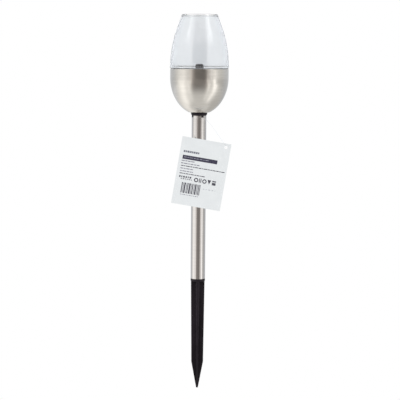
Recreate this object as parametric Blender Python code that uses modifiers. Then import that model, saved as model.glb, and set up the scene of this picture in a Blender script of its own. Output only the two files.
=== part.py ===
"""Solar garden stake light, about 361 mm tall, modelled at real size in metres.

Row frame: +Z up, origin on the lamp's axis at ground level, which is the flat underside of
the ground spike's stop flange. The front faces -Y. The spike runs down to -106 mm and the
flat top of the clear shade is at +255.3 mm.

All driving dimensions below are in millimetres and are turned into metres by mm().
"""

import math

import bmesh
import bpy
from mathutils import Matrix, Vector

# ------------------------------------------------------------------ driving dimensions, mm
GAP = 0.3                      # clearance between faces that touch on the real lamp

# ground spike: plus-shaped section, stop flange and the plug that goes into the stem
FLANGE_R, FLANGE_H = 7.0, 2.0
PLUG_R, SPIKE_PLUG_TOP = 6.2, 20.0
FIN_T = 2.0
FIN_TOP_HALF, FIN_SHOULDER_HALF, FIN_TIP_HALF = 6.6, 5.75, 0.85
SHOULDER_Z, TIP_Z = -79.7, -106.0

# stem: thin rolled steel tube
STEM_R, STEM_WALL = 7.0, 0.45
STEM_BOTTOM, STEM_TOP = 2.3, 159.9
NOTCH_DEPTH, NOTCH_HALF = 1.9, 1.25

# neck collar: flange between cup and stem, plug in the stem, four locating lugs
COLLAR_BOTTOM, COLLAR_TOP = 160.2, 162.6
COLLAR_R_TOP, COLLAR_R_BOTTOM = 7.95, 7.4
COLLAR_PLUG_R, COLLAR_PLUG_BOTTOM = 6.25, 141.2
LUG_HALF, LUG_REACH, LUG_DROP = 0.95, 7.35, 1.9
LUG_ANGLE = 28.0               # degrees from +X to the first lug, then every 90 degrees
SCREW_BORE_R, SCREW_BORE_BOTTOM = 1.7, 150.5

# steel cup: straight side, then half an ellipse down to a small flat bottom
CUP_R, CUP_WALL = 27.85, 0.5
CUP_RIM_Z, CUP_SIDE_Z, CUP_DEPTH = 204.0, 195.9, 35.4
CUP_FLAT_Z, CUP_FLAT_R, CUP_HOLE_R = 162.9, 10.1, 3.3
RIM_HEM_R, RIM_HEM_H = 26.6, 1.6

# clear shade: barrel-shaped wall with a flat closed top, a flange and a skirt
SHADE_TOP_Z, SHADE_WALL, SHADE_TOP_T = 255.3, 1.6, 1.8
SHADE_STATIONS = ((206.6, 27.9), (212.5, 27.7), (221.0, 26.85), (229.3, 25.4),
                  (237.7, 23.2), (246.0, 20.3), (254.6, 17.15))
SHADE_FLANGE_R, SHADE_FLANGE_BOTTOM, SHADE_FLANGE_TOP = 28.05, 205.0, 206.6
SKIRT_R_OUT, SKIRT_R_IN, SKIRT_BOTTOM = 26.2, 24.9, 196.8

# rain seal between the cup's rim and the shade's flange
SEAL_R_IN, SEAL_R_OUT, SEAL_BOTTOM, SEAL_TOP = 26.5, 27.4, 204.3, 204.7

# tray: top-hat moulding that carries the solar panel and the light source
DECK_R, DECK_TOP, DECK_T = 24.5, 202.7, 1.6
TRAY_WALL_R_IN, TRAY_FLANGE_R, TRAY_BOTTOM, TRAY_FLANGE_T = 23.1, 26.2, 194.9, 1.6
LED_HOLE_R, WIRE_HOLE_R, WIRE_HOLE_X, WIRE_HOLE_Y = 3.2, 1.0, -11.0, 3.2
BOSS_X, BOSS_Y, BOSS_R, BOSS_HOLE_R = 9.5, 18.2, 3.0, 1.1

# solar panel ring and the light source in its centre
PANEL_R, PANEL_HOLE_R, PANEL_BOTTOM, PANEL_TOP = 24.4, 4.3, 203.0, 203.9
BEZEL_R, BEZEL_TOP_R, BEZEL_R_IN, BEZEL_TOP = 3.9, 3.4, 2.8, 208.2
LED_R, LED_FLANGE_R, LED_BOTTOM, LED_TOP = 2.5, 2.9, 200.3, 208.9

# lower housing under the tray: round flange plate and a box for the battery and the switch
PLATE_R, PLATE_BOTTOM, PLATE_TOP = 26.0, 193.1, 194.6
BOX_HALF_X, BOX_HALF_Y, BOX_BOTTOM, BOX_WALL = 21.0, 12.5, 182.2, 1.4
DOOR_HALF_X, DOOR_HALF_Y, DOOR_T = 17.0, 6.8, 1.2
HATCH_HALF_X, HATCH_HALF_Y = 15.8, 5.4
RAIL_T, RAIL_LIP = 1.1, 1.2

# battery: two-thirds AAA cell lying along X
CELL_R, CELL_LENGTH, CELL_Y, CELL_Z = 5.25, 30.0, -3.0, 189.4
CONTACT_T, CONTACT_HALF = 0.4, 4.0

# slide switch beside the battery
SWITCH_X, SWITCH_Y, SWITCH_TRAVEL = -7.0, 8.3, 2.0
KNOB_X, KNOB_Y, KNOB_BOTTOM = 2.0, 1.6, 180.2

# circuit board above the battery
BOARD_HALF_X, BOARD_HALF_Y, BOARD_BOTTOM, BOARD_TOP = 13.0, 8.0, 195.8, 197.0

# swing tag: card with a corner hole, held by a clear nylon loop round the stem
TAG_W, TAG_H, TAG_T, TAG_TILT = 47.2, 64.8, 0.4, 9.4
TAG_HOLE_R, TAG_HOLE_DX, TAG_HOLE_DY = 1.5, 18.9, 28.8
TAG_HOLE = (25.8, -8.0, 130.1)
TIE_R, TIE_RING_R, TIE_RING_Z = 0.3, 7.7, 157.9
TIE_BACK_R = 8.8               # the ring stands this far out behind the stem, at its lock
LOCK_R, LOCK_LENGTH = 1.2, 4.0

STEPS = 40                     # sides of a large turned part


def mm(*values):
    """Millimetres to metres."""
    return values[0] * 0.001 if len(values) == 1 else tuple(v * 0.001 for v in values)


# ------------------------------------------------------------------ start from nothing
for old in list(bpy.data.objects):
    bpy.data.objects.remove(old)

parts = bpy.data.collections.new("solar_garden_light")
cutters = bpy.data.collections.new("cutters")
bpy.context.scene.collection.children.link(parts)
bpy.context.scene.collection.children.link(cutters)


def material(name, colour, roughness, metallic=0.0, alpha=1.0):
    """One Principled material."""
    m = bpy.data.materials.new(name)
    m.use_nodes = True
    shader = m.node_tree.nodes["Principled BSDF"]
    shader.inputs["Base Color"].default_value = (*colour, 1.0)
    shader.inputs["Roughness"].default_value = roughness
    shader.inputs["Metallic"].default_value = metallic
    shader.inputs["Alpha"].default_value = alpha
    return m


BLACK = material("black_plastic", (0.012, 0.011, 0.014), 0.42)
STEEL = material("brushed_steel", (0.62, 0.59, 0.56), 0.28, 1.0)
CLEAR = material("clear_plastic", (0.86, 0.90, 0.92), 0.08, 0.0, 0.35)
WHITE = material("white_plastic", (0.78, 0.79, 0.80), 0.45)
PANEL = material("solar_cell", (0.01, 0.015, 0.05), 0.15)
LENS = material("led_lens", (0.85, 0.87, 0.80), 0.05, 0.0, 0.5)
BOARD = material("board_green", (0.02, 0.16, 0.06), 0.5)
BRASS = material("nickel_contact", (0.66, 0.63, 0.55), 0.3, 1.0)
SLEEVE = material("cell_sleeve", (0.03, 0.20, 0.10), 0.35)
RED = material("red_wire", (0.55, 0.02, 0.02), 0.5)
DARK = material("black_wire", (0.02, 0.02, 0.02), 0.5)
RUBBER = material("seal_rubber", (0.015, 0.015, 0.015), 0.8)
CARD = material("tag_card", (0.80, 0.82, 0.83), 0.6)
NYLON = material("clear_nylon", (0.9, 0.9, 0.9), 0.2, 0.0, 0.4)


# ------------------------------------------------------------------ modelling helpers
def empty(name, location, parent=None):
    """A parent empty that stands on a joint's axis."""
    e = bpy.data.objects.new(name, None)
    e.empty_display_size = 0.01
    parts.objects.link(e)
    e.location = mm(*location)
    if parent is not None:
        e.parent = parent
        bpy.context.view_layer.update()
        e.matrix_parent_inverse = parent.matrix_world.inverted()
    bpy.context.view_layer.update()
    return e


def place(obj, mat=None, parent=None, cutter=False):
    """Puts a finished object in its collection, with its material and parent."""
    for c in list(obj.users_collection):
        c.objects.unlink(obj)
    (cutters if cutter else parts).objects.link(obj)
    if cutter:
        obj.hide_render = True
        obj.display_type = "WIRE"
    if mat is not None:
        obj.data.materials.clear()
        obj.data.materials.append(mat)
    if parent is not None:
        bpy.context.view_layer.update()
        obj.parent = parent
        obj.matrix_parent_inverse = parent.matrix_world.inverted()
    bpy.context.view_layer.update()
    return obj


def turned(name, profile, closed, steps=STEPS):
    """A turned part: a profile of (radius, height) pairs in mm that runs down its outer side."""
    mesh = bpy.data.meshes.new(name)
    verts = [(mm(r), 0.0, mm(z)) for r, z in profile]
    edges = [(i, i + 1) for i in range(len(verts) - 1)]
    if closed:
        edges.append((len(verts) - 1, 0))
    mesh.from_pydata(verts, edges, [])
    obj = bpy.data.objects.new(name, mesh)
    bpy.context.scene.collection.objects.link(obj)
    screw = obj.modifiers.new("Turn", "SCREW")
    screw.axis = "Z"
    screw.angle = 2 * math.pi
    screw.steps = screw.render_steps = steps
    screw.use_merge_vertices = True
    screw.merge_threshold = 0.00001
    screw.use_smooth_shade = True
    return obj


def block(name, x0, x1, y0, y1, z0, z1):
    """A box from its limits in mm, with its scale applied."""
    bpy.ops.mesh.primitive_cube_add(size=1.0)
    obj = bpy.context.active_object
    obj.name = obj.data.name = name
    obj.location = mm((x0 + x1) / 2, (y0 + y1) / 2, (z0 + z1) / 2)
    for v in obj.data.vertices:
        v.co.x *= mm(x1 - x0)
        v.co.y *= mm(y1 - y0)
        v.co.z *= mm(z1 - z0)
    return obj


def rod(name, radius, z0, z1, sides=24, x=0.0, y=0.0):
    """An upright cylinder from its limits in mm."""
    bpy.ops.mesh.primitive_cylinder_add(vertices=sides, radius=mm(radius), depth=mm(z1 - z0),
                                        location=mm(x, y, (z0 + z1) / 2))
    obj = bpy.context.active_object
    obj.name = obj.data.name = name
    obj.data.shade_smooth()
    obj.data.set_sharp_from_angle(angle=math.radians(35))
    return obj


def together(name, objects):
    """Joins cutters, which stay separate bodies, into one object."""
    bm = bmesh.new()
    bpy.context.view_layer.update()
    for o in objects:
        part = o.data.copy()
        part.transform(o.matrix_world)
        bm.from_mesh(part)
        bpy.data.meshes.remove(part)
    mesh = bpy.data.meshes.new(name)
    bm.to_mesh(mesh)
    bm.free()
    for o in objects:
        bpy.data.objects.remove(o)
    obj = bpy.data.objects.new(name, mesh)
    bpy.context.scene.collection.objects.link(obj)
    return obj


def as_mesh(obj):
    """A curve made into a mesh with welded caps, in the same place."""
    bpy.context.view_layer.update()
    deps = bpy.context.evaluated_depsgraph_get()
    mesh = bpy.data.meshes.new_from_object(obj.evaluated_get(deps))
    bm = bmesh.new()
    bm.from_mesh(mesh)
    bmesh.ops.remove_doubles(bm, verts=bm.verts, dist=0.000001)
    bmesh.ops.recalc_face_normals(bm, faces=bm.faces)
    bm.to_mesh(mesh)
    bm.free()
    made = bpy.data.objects.new(obj.name + "_mesh", mesh)
    bpy.context.scene.collection.objects.link(made)
    made.matrix_world = obj.matrix_world.copy()
    bpy.data.objects.remove(obj)
    return made


def cut(obj, tool, operation):
    """A Boolean modifier with a tool kept in the cutters collection."""
    place(tool, cutter=True)
    b = obj.modifiers.new(tool.name, "BOOLEAN")
    b.operation = operation
    b.solver = "EXACT"
    b.object = tool


def bevel(obj, width, segments=2, angle=40.0):
    """Rounded edges."""
    b = obj.modifiers.new("Bevel", "BEVEL")
    b.width = mm(width)
    b.segments = segments
    b.limit_method = "ANGLE"
    b.angle_limit = math.radians(angle)


def outline(name, loops, half_thickness):
    """A flat outline in the local XY plane, with its inner loops as holes, extruded both ways."""
    curve = bpy.data.curves.new(name, "CURVE")
    curve.dimensions = "2D"
    curve.fill_mode = "BOTH"
    curve.extrude = mm(half_thickness)
    for loop in loops:
        spline = curve.splines.new("POLY")
        spline.points.add(len(loop) - 1)
        for p, (x, y) in zip(spline.points, loop):
            p.co = (mm(x), mm(y), 0.0, 1.0)
        spline.use_cyclic_u = True
    obj = bpy.data.objects.new(name, curve)
    bpy.context.scene.collection.objects.link(obj)
    return obj


def wire(name, points, radius, resolution=2):
    """A wire or filament: a POLY curve with a round bevel and filled caps. Points in mm."""
    curve = bpy.data.curves.new(name, "CURVE")
    curve.dimensions = "3D"
    curve.bevel_depth = mm(radius)
    curve.bevel_resolution = resolution
    curve.use_fill_caps = True
    spline = curve.splines.new("POLY")
    spline.points.add(len(points) - 1)
    for p, xyz in zip(spline.points, points):
        p.co = (*mm(*xyz), 1.0)
    obj = bpy.data.objects.new(name, curve)
    bpy.context.scene.collection.objects.link(obj)
    return obj


def smooth_path(controls, spacing, closed=False):
    """Points at about the given spacing along a Catmull-Rom curve through the controls."""
    c = [Vector(p) for p in controls]
    n = len(c)
    dense = []
    for i in range(n if closed else n - 1):
        if closed:
            p0, p1, p2, p3 = c[(i - 1) % n], c[i], c[(i + 1) % n], c[(i + 2) % n]
        else:
            p0, p1, p2, p3 = c[max(i - 1, 0)], c[i], c[i + 1], c[min(i + 2, n - 1)]
        for k in range(24):
            t = k / 24
            dense.append(0.5 * ((2 * p1) + (p2 - p0) * t + (2 * p0 - 5 * p1 + 4 * p2 - p3) * t * t
                                + (3 * p1 - 3 * p2 + p3 - p0) * t * t * t))
    dense.append(c[0].copy() if closed else c[-1].copy())
    lengths = [0.0]
    for a, b in zip(dense, dense[1:]):
        lengths.append(lengths[-1] + (b - a).length)
    total = lengths[-1]
    count = max(2, round(total / spacing))
    found, j = [], 0
    for k in range(count + 1):
        s = total * k / count
        while j < len(lengths) - 2 and lengths[j + 1] < s:
            j += 1
        span = lengths[j + 1] - lengths[j]
        t = 0.0 if span == 0 else (s - lengths[j]) / span
        found.append(dense[j].lerp(dense[j + 1], t))
    return found


def ellipse_side(radius, centre_z, depth, from_z, to_radius, count):
    """(radius, height) pairs down a half-ellipse, from the side to a smaller radius."""
    last = math.acos(to_radius / radius)
    return [(radius * math.cos(last * i / count), centre_z - depth * math.sin(last * i / count))
            for i in range(1, count + 1)]


# ------------------------------------------------------------------ joint frames
stake_frame = empty("stake_frame", (0, 0, 0))
stem_frame = empty("stem_frame", (0, 0, STEM_BOTTOM), stake_frame)
head_frame = empty("head_frame", (0, 0, COLLAR_BOTTOM), stem_frame)
top_frame = empty("lamp_top_frame", (0, 0, SEAL_BOTTOM), head_frame)
tie_frame = empty("tag_tie_frame", (0, 0, TIE_RING_Z), stem_frame)

# ------------------------------------------------------------------ ground spike
spike = turned("ground_spike", [
    (0, SPIKE_PLUG_TOP), (PLUG_R - 0.8, SPIKE_PLUG_TOP), (PLUG_R, SPIKE_PLUG_TOP - 1.2),
    (PLUG_R, FLANGE_H), (FLANGE_R, FLANGE_H), (FLANGE_R, 0), (0, 0)], closed=False, steps=32)
fin_loop = [(-FIN_TOP_HALF, 1.0), (-FIN_TOP_HALF, -1.0), (-FIN_SHOULDER_HALF, SHOULDER_Z),
            (-FIN_SHOULDER_HALF * 0.93, SHOULDER_Z - 2.2), (-FIN_TIP_HALF, TIP_Z),
            (FIN_TIP_HALF, TIP_Z), (FIN_SHOULDER_HALF * 0.93, SHOULDER_Z - 2.2),
            (FIN_SHOULDER_HALF, SHOULDER_Z), (FIN_TOP_HALF, -1.0), (FIN_TOP_HALF, 1.0)]
for fin_name, turn in (("fin_side", 0.0), ("fin_front", math.pi / 2)):
    fin = outline(fin_name, [fin_loop], FIN_T / 2)
    fin.rotation_euler = (math.pi / 2, 0, turn)
    fin = as_mesh(fin)
    fin.name = fin_name
    cut(spike, fin, "UNION")
bpy.ops.mesh.primitive_cone_add(vertices=16, radius1=mm(0.9), radius2=mm(2.4),
                                depth=mm(1.2 - TIP_Z - 2.0),
                                location=(0, 0, mm((1.2 + TIP_Z + 2.0) / 2)))
core = bpy.context.active_object
core.name = "spike_core"
cut(spike, core, "UNION")
place(spike, BLACK, stake_frame)

# ------------------------------------------------------------------ stem tube
bpy.ops.mesh.primitive_cylinder_add(vertices=STEPS, radius=mm(STEM_R),
                                    depth=mm(STEM_TOP - STEM_BOTTOM), end_fill_type="NOTHING",
                                    location=(0, 0, mm((STEM_TOP + STEM_BOTTOM) / 2)))
stem = bpy.context.active_object
stem.name = stem.data.name = "stem_tube"
stem.data.shade_smooth()
shell = stem.modifiers.new("Wall", "SOLIDIFY")
shell.thickness = mm(STEM_WALL)
shell.offset = -1.0
for i in range(2):
    notch = block(f"stem_notch_{i}", -9, 9, -NOTCH_HALF, NOTCH_HALF,
                  STEM_TOP - NOTCH_DEPTH, STEM_TOP + 1)
    notch.rotation_euler = (0, 0, math.radians(LUG_ANGLE + 90 * i))
    cut(stem, notch, "DIFFERENCE")
place(stem, STEEL, stem_frame)

# ------------------------------------------------------------------ neck collar
collar = turned("neck_collar", [
    (0, SCREW_BORE_BOTTOM), (SCREW_BORE_R, SCREW_BORE_BOTTOM), (SCREW_BORE_R, COLLAR_TOP),
    (COLLAR_R_TOP - 0.3, COLLAR_TOP), (COLLAR_R_TOP, COLLAR_TOP - 0.4),
    (COLLAR_R_BOTTOM, COLLAR_BOTTOM), (COLLAR_PLUG_R, COLLAR_BOTTOM),
    (COLLAR_PLUG_R, COLLAR_PLUG_BOTTOM + 1.2), (COLLAR_PLUG_R - 0.7, COLLAR_PLUG_BOTTOM),
    (0, COLLAR_PLUG_BOTTOM)], closed=False, steps=40)
for i in range(4):
    lug = block(f"collar_lug_{i}", 3.0, LUG_REACH, -LUG_HALF, LUG_HALF,
                COLLAR_BOTTOM - LUG_DROP, COLLAR_BOTTOM + 0.5)
    lug.data.transform(Matrix.Translation(lug.location))
    lug.location = (0, 0, 0)
    lug.rotation_euler = (0, 0, math.radians(LUG_ANGLE + 90 * i))
    cut(collar, lug, "UNION")
place(collar, BLACK, head_frame)

# ------------------------------------------------------------------ steel cup
outer = ellipse_side(CUP_R, CUP_SIDE_Z, CUP_DEPTH, CUP_SIDE_Z, CUP_FLAT_R, 9)
inner = ellipse_side(CUP_R - CUP_WALL, CUP_SIDE_Z, CUP_DEPTH - CUP_WALL, CUP_SIDE_Z,
                     CUP_FLAT_R - 0.2, 8)
cup_profile = ([(CUP_R - 0.25, CUP_RIM_Z), (CUP_R, CUP_RIM_Z - 0.3), (CUP_R, CUP_SIDE_Z)]
               + outer
               + [(CUP_FLAT_R - 0.5, CUP_FLAT_Z), (CUP_HOLE_R, CUP_FLAT_Z),
                  (CUP_HOLE_R, CUP_FLAT_Z + CUP_WALL),
                  (CUP_FLAT_R - 0.6, CUP_FLAT_Z + CUP_WALL)]
               + inner[::-1]
               + [(CUP_R - CUP_WALL, CUP_SIDE_Z), (CUP_R - CUP_WALL, CUP_RIM_Z - RIM_HEM_H),
                  (RIM_HEM_R, CUP_RIM_Z - RIM_HEM_H + 0.3), (RIM_HEM_R, CUP_RIM_Z)])
place(turned("steel_cup", cup_profile, closed=True), STEEL, head_frame)

# washer and screw that hold the collar to the cup, inside the cup
floor_z = CUP_FLAT_Z + CUP_WALL
washer = turned("cup_washer", [(4.5, floor_z + GAP + 0.8), (4.5, floor_z + GAP),
                               (1.9, floor_z + GAP), (1.9, floor_z + GAP + 0.8)],
                closed=True, steps=24)
place(washer, BRASS, head_frame)
head_z = floor_z + 2 * GAP + 0.8
screw = turned("cup_screw", [(0, head_z + 2.0), (1.6, head_z + 1.8), (2.6, head_z + 1.0),
                             (2.8, head_z), (1.4, head_z), (1.4, SCREW_BORE_BOTTOM + 2.0),
                             (0.5, SCREW_BORE_BOTTOM + 1.0), (0, SCREW_BORE_BOTTOM + 1.0)],
               closed=False, steps=20)
cross = together("cup_screw_recess", [
    block("recess_a", -1.5, 1.5, -0.35, 0.35, head_z + 0.8, head_z + 3),
    block("recess_b", -0.35, 0.35, -1.5, 1.5, head_z + 0.8, head_z + 3)])
cut(screw, cross, "DIFFERENCE")
screw.modifiers[-1].use_self = True
place(screw, BRASS, head_frame)

# ------------------------------------------------------------------ clear shade
stations = [Vector((r, 0, z)) for z, r in SHADE_STATIONS]


def wall_radius(z):
    """Outer radius of the shade's wall at a height, on a smooth curve through the stations."""
    zs = [p.z for p in stations]
    rs = [p.x for p in stations]
    slopes = []
    for k in range(len(zs)):
        a, b = max(k - 1, 0), min(k + 1, len(zs) - 1)
        slopes.append((rs[b] - rs[a]) / (zs[b] - zs[a]))
    for k in range(len(zs) - 1):
        if z <= zs[k + 1] or k == len(zs) - 2:
            h = zs[k + 1] - zs[k]
            t = (z - zs[k]) / h
            return ((2 * t ** 3 - 3 * t ** 2 + 1) * rs[k] + (t ** 3 - 2 * t ** 2 + t) * h * slopes[k]
                    + (-2 * t ** 3 + 3 * t ** 2) * rs[k + 1] + (t ** 3 - t ** 2) * h * slopes[k + 1])


wall_low, wall_high, rows = SHADE_FLANGE_TOP, SHADE_TOP_Z - 0.7, 8
heights = [wall_high + (wall_low - wall_high) * i / rows for i in range(rows + 1)]
outer_wall = [(wall_radius(z), z) for z in heights]
inner_top = SHADE_TOP_Z - SHADE_TOP_T
inner_heights = [inner_top + (wall_low + 0.6 - inner_top) * i / rows for i in range(rows + 1)]
inner_wall = [(wall_radius(z) - SHADE_WALL, z) for z in inner_heights]
shade_profile = ([(0, SHADE_TOP_Z), (wall_radius(wall_high) - 0.6, SHADE_TOP_Z)] + outer_wall
                 + [(SHADE_FLANGE_R, SHADE_FLANGE_TOP - 0.2), (SHADE_FLANGE_R, SHADE_FLANGE_BOTTOM),
                    (SKIRT_R_OUT, SHADE_FLANGE_BOTTOM), (SKIRT_R_OUT, SKIRT_BOTTOM),
                    (SKIRT_R_IN, SKIRT_BOTTOM), (SKIRT_R_IN, SHADE_FLANGE_TOP)]
                 + inner_wall[::-1] + [(0, inner_top)])
place(turned("shade", shade_profile, closed=False), CLEAR, top_frame)

# ------------------------------------------------------------------ rain seal
seal = turned("seal_ring", [(SEAL_R_OUT, SEAL_TOP), (SEAL_R_OUT, SEAL_BOTTOM),
                            (SEAL_R_IN, SEAL_BOTTOM), (SEAL_R_IN, SEAL_TOP)], closed=True)
place(seal, RUBBER, top_frame)

# ------------------------------------------------------------------ tray
tray = turned("tray", [
    (DECK_R - 0.4, DECK_TOP), (DECK_R, DECK_TOP - 0.4), (DECK_R, TRAY_BOTTOM + TRAY_FLANGE_T),
    (TRAY_FLANGE_R, TRAY_BOTTOM + TRAY_FLANGE_T), (TRAY_FLANGE_R, TRAY_BOTTOM),
    (TRAY_WALL_R_IN, TRAY_BOTTOM), (TRAY_WALL_R_IN, DECK_TOP - DECK_T),
    (LED_HOLE_R, DECK_TOP - DECK_T), (LED_HOLE_R, DECK_TOP)], closed=True)
corners = [(sx * BOSS_X, sy * BOSS_Y) for sx in (-1, 1) for sy in (-1, 1)]
bosses = together("tray_bosses", [
    rod(f"boss_{i}", BOSS_R, TRAY_BOTTOM + 0.2, DECK_TOP - 0.6, 16, x, y)
    for i, (x, y) in enumerate(corners)])
cut(tray, bosses, "UNION")
holes = together("tray_holes", [
    rod(f"boss_hole_{i}", BOSS_HOLE_R, TRAY_BOTTOM - 1, DECK_TOP - DECK_T - 0.3, 12, x, y)
    for i, (x, y) in enumerate(corners)] + [
    rod(f"wire_hole_{i}", WIRE_HOLE_R, DECK_TOP - DECK_T - 1, DECK_TOP + 1, 12,
        WIRE_HOLE_X, s * WIRE_HOLE_Y) for i, s in enumerate((-1, 1))])
cut(tray, holes, "DIFFERENCE")
place(tray, WHITE, top_frame)

# ------------------------------------------------------------------ solar panel, bezel, lamp
panel = turned("solar_panel", [
    (PANEL_R - 0.4, PANEL_TOP), (PANEL_R, PANEL_TOP - 0.4), (PANEL_R, PANEL_BOTTOM),
    (PANEL_HOLE_R, PANEL_BOTTOM), (PANEL_HOLE_R, PANEL_TOP)], closed=True)
place(panel, PANEL, top_frame)
bezel = turned("led_bezel", [
    (BEZEL_TOP_R, BEZEL_TOP), (BEZEL_R, PANEL_BOTTOM + 1.6), (BEZEL_R, PANEL_BOTTOM),
    (BEZEL_R_IN, PANEL_BOTTOM), (BEZEL_R_IN, BEZEL_TOP)], closed=True, steps=28)
place(bezel, BLACK, top_frame)
dome = [(LED_R * math.sin(math.radians(a)), LED_TOP - LED_R + LED_R * math.cos(math.radians(a)))
        for a in range(0, 91, 15)]
led = turned("led_lamp", dome + [
    (LED_R, LED_BOTTOM + 1.0), (LED_FLANGE_R, LED_BOTTOM + 1.0), (LED_FLANGE_R, LED_BOTTOM),
    (0, LED_BOTTOM)], closed=False, steps=24)
place(led, LENS, top_frame)
for i, s in enumerate((-1, 1)):
    place(block(f"led_lead_{i + 1}", -0.25, 0.25, s * 1.27 - 0.25, s * 1.27 + 0.25,
                BOARD_TOP + GAP, LED_BOTTOM - GAP), BRASS, top_frame)

# ------------------------------------------------------------------ lower housing
housing = rod("lower_housing", PLATE_R, PLATE_BOTTOM, PLATE_TOP, STEPS)
box = block("housing_box", -BOX_HALF_X, BOX_HALF_X, -BOX_HALF_Y, BOX_HALF_Y,
            BOX_BOTTOM, PLATE_TOP - 0.5)
bevel(box, 2.2, 3, 40)
cut(housing, box, "UNION")
leg_y = DOOR_HALF_Y + GAP
legs = together("rail_legs", [
    block(f"rail_leg_{i}", -DOOR_HALF_X, DOOR_HALF_X, min(a, b), max(a, b),
          BOX_BOTTOM - GAP - DOOR_T - GAP - 0.9, BOX_BOTTOM + 0.6)
    for i, (a, b) in enumerate((
        (CELL_Y - leg_y - RAIL_T, CELL_Y - leg_y), (CELL_Y + leg_y, CELL_Y + leg_y + RAIL_T)))])
cut(housing, legs, "UNION")
lip_top = BOX_BOTTOM - GAP - DOOR_T - GAP
lips = together("rail_lips", [
    block(f"rail_lip_{i}", -DOOR_HALF_X + 0.2, DOOR_HALF_X - 0.2, min(a, b), max(a, b),
          lip_top - 1.1, lip_top)
    for i, (a, b) in enumerate((
        (CELL_Y - leg_y - RAIL_T + 0.2, CELL_Y - leg_y + RAIL_LIP),
        (CELL_Y + leg_y - RAIL_LIP, CELL_Y + leg_y + RAIL_T - 0.2)))])
cut(housing, lips, "UNION")
room = block("housing_room", -BOX_HALF_X + BOX_WALL, BOX_HALF_X - BOX_WALL,
             -BOX_HALF_Y + BOX_WALL, BOX_HALF_Y - BOX_WALL, BOX_BOTTOM + BOX_WALL, PLATE_TOP + 2)
cut(housing, room, "DIFFERENCE")
slot_x0 = SWITCH_X - KNOB_X / 2 - 0.4
slot_x1 = SWITCH_X + KNOB_X / 2 + SWITCH_TRAVEL + 0.4
openings = together("housing_openings", [
    block("battery_hatch", -HATCH_HALF_X, HATCH_HALF_X, CELL_Y - HATCH_HALF_Y,
          CELL_Y + HATCH_HALF_Y, BOX_BOTTOM - 1, BOX_BOTTOM + BOX_WALL + 1),
    block("switch_slot", slot_x0, slot_x1, SWITCH_Y - KNOB_Y / 2 - 0.4,
          SWITCH_Y + KNOB_Y / 2 + 0.4, BOX_BOTTOM - 1, BOX_BOTTOM + BOX_WALL + 1)] + [
    rod(f"plate_hole_{i}", BOSS_HOLE_R, PLATE_BOTTOM - 1, PLATE_TOP + 1, 12, x, y)
    for i, (x, y) in enumerate(corners)])
cut(housing, openings, "DIFFERENCE")
place(housing, BLACK, top_frame)

head_top = PLATE_BOTTOM - GAP
screw_profile = [(0, DECK_TOP - DECK_T - 1.4), (0.4, DECK_TOP - DECK_T - 1.4),
                 (0.8, DECK_TOP - DECK_T - 2.4), (0.8, head_top), (1.8, head_top),
                 (1.8, head_top - 1.0), (1.4, head_top - 1.5), (0, head_top - 1.5)]
for i, (x, y) in enumerate(corners):
    fastener = turned(f"housing_screw_{i + 1}", screw_profile, closed=False, steps=16)
    fastener.location = mm(x, y, 0)
    drive = together(f"housing_screw_drive_{i + 1}", [
        block("drive_a", x - 1.0, x + 1.0, y - 0.22, y + 0.22, head_top - 2.2, head_top - 0.8)])
    cut(fastener, drive, "DIFFERENCE")
    place(fastener, BRASS, top_frame)

# ------------------------------------------------------------------ battery and contacts
nub = 1.1
cell = turned("battery_cell", [
    (0, CELL_LENGTH / 2), (1.8, CELL_LENGTH / 2), (1.9, CELL_LENGTH / 2 - nub),
    (CELL_R - 0.7, CELL_LENGTH / 2 - nub), (CELL_R, CELL_LENGTH / 2 - nub - 0.6),
    (CELL_R, -CELL_LENGTH / 2 + 0.5), (CELL_R - 0.5, -CELL_LENGTH / 2), (0, -CELL_LENGTH / 2)],
    closed=False, steps=32)
cell.rotation_euler = (0, math.pi / 2, 0)
cell.location = mm(0, CELL_Y, CELL_Z)
place(cell, SLEEVE, top_frame)
plus_x = CELL_LENGTH / 2 + GAP
minus_x = -(BOX_HALF_X - BOX_WALL) + GAP
plus = block("contact_plate_pos", plus_x, plus_x + CONTACT_T, CELL_Y - CONTACT_HALF,
             CELL_Y + CONTACT_HALF, CELL_Z - CONTACT_HALF, CELL_Z + CONTACT_HALF)
place(plus, BRASS, top_frame)
minus = block("contact_plate_neg", minus_x, minus_x + CONTACT_T, CELL_Y - CONTACT_HALF,
              CELL_Y + CONTACT_HALF, CELL_Z - CONTACT_HALF, CELL_Z + CONTACT_HALF)
place(minus, BRASS, top_frame)
spring_x0 = minus_x + CONTACT_T + GAP + 0.3
spring_x1 = -CELL_LENGTH / 2 - GAP - 0.3
turns, per_turn = 3, 14
coil = []
for i in range(turns * per_turn + 1):
    u = i / (turns * per_turn)
    a = 2 * math.pi * turns * u
    r = 3.6 - 1.6 * u
    coil.append((spring_x0 + (spring_x1 - spring_x0) * u, CELL_Y + r * math.cos(a),
                 CELL_Z + r * math.sin(a)))
place(wire("contact_spring", coil, 0.28), BRASS, top_frame)

# ------------------------------------------------------------------ battery cover
cover = block("battery_cover", -DOOR_HALF_X, DOOR_HALF_X, CELL_Y - DOOR_HALF_Y,
              CELL_Y + DOOR_HALF_Y, BOX_BOTTOM - GAP - DOOR_T, BOX_BOTTOM - GAP)
grips = together("cover_grips", [
    block(f"grip_{i}", 8.0 + 2.0 * i, 9.0 + 2.0 * i, CELL_Y - 3.5, CELL_Y + 3.5,
          BOX_BOTTOM - GAP - DOOR_T - 0.7, BOX_BOTTOM - GAP - DOOR_T + 0.4) for i in range(4)])
cut(cover, grips, "UNION")
place(cover, BLACK, top_frame)

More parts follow.
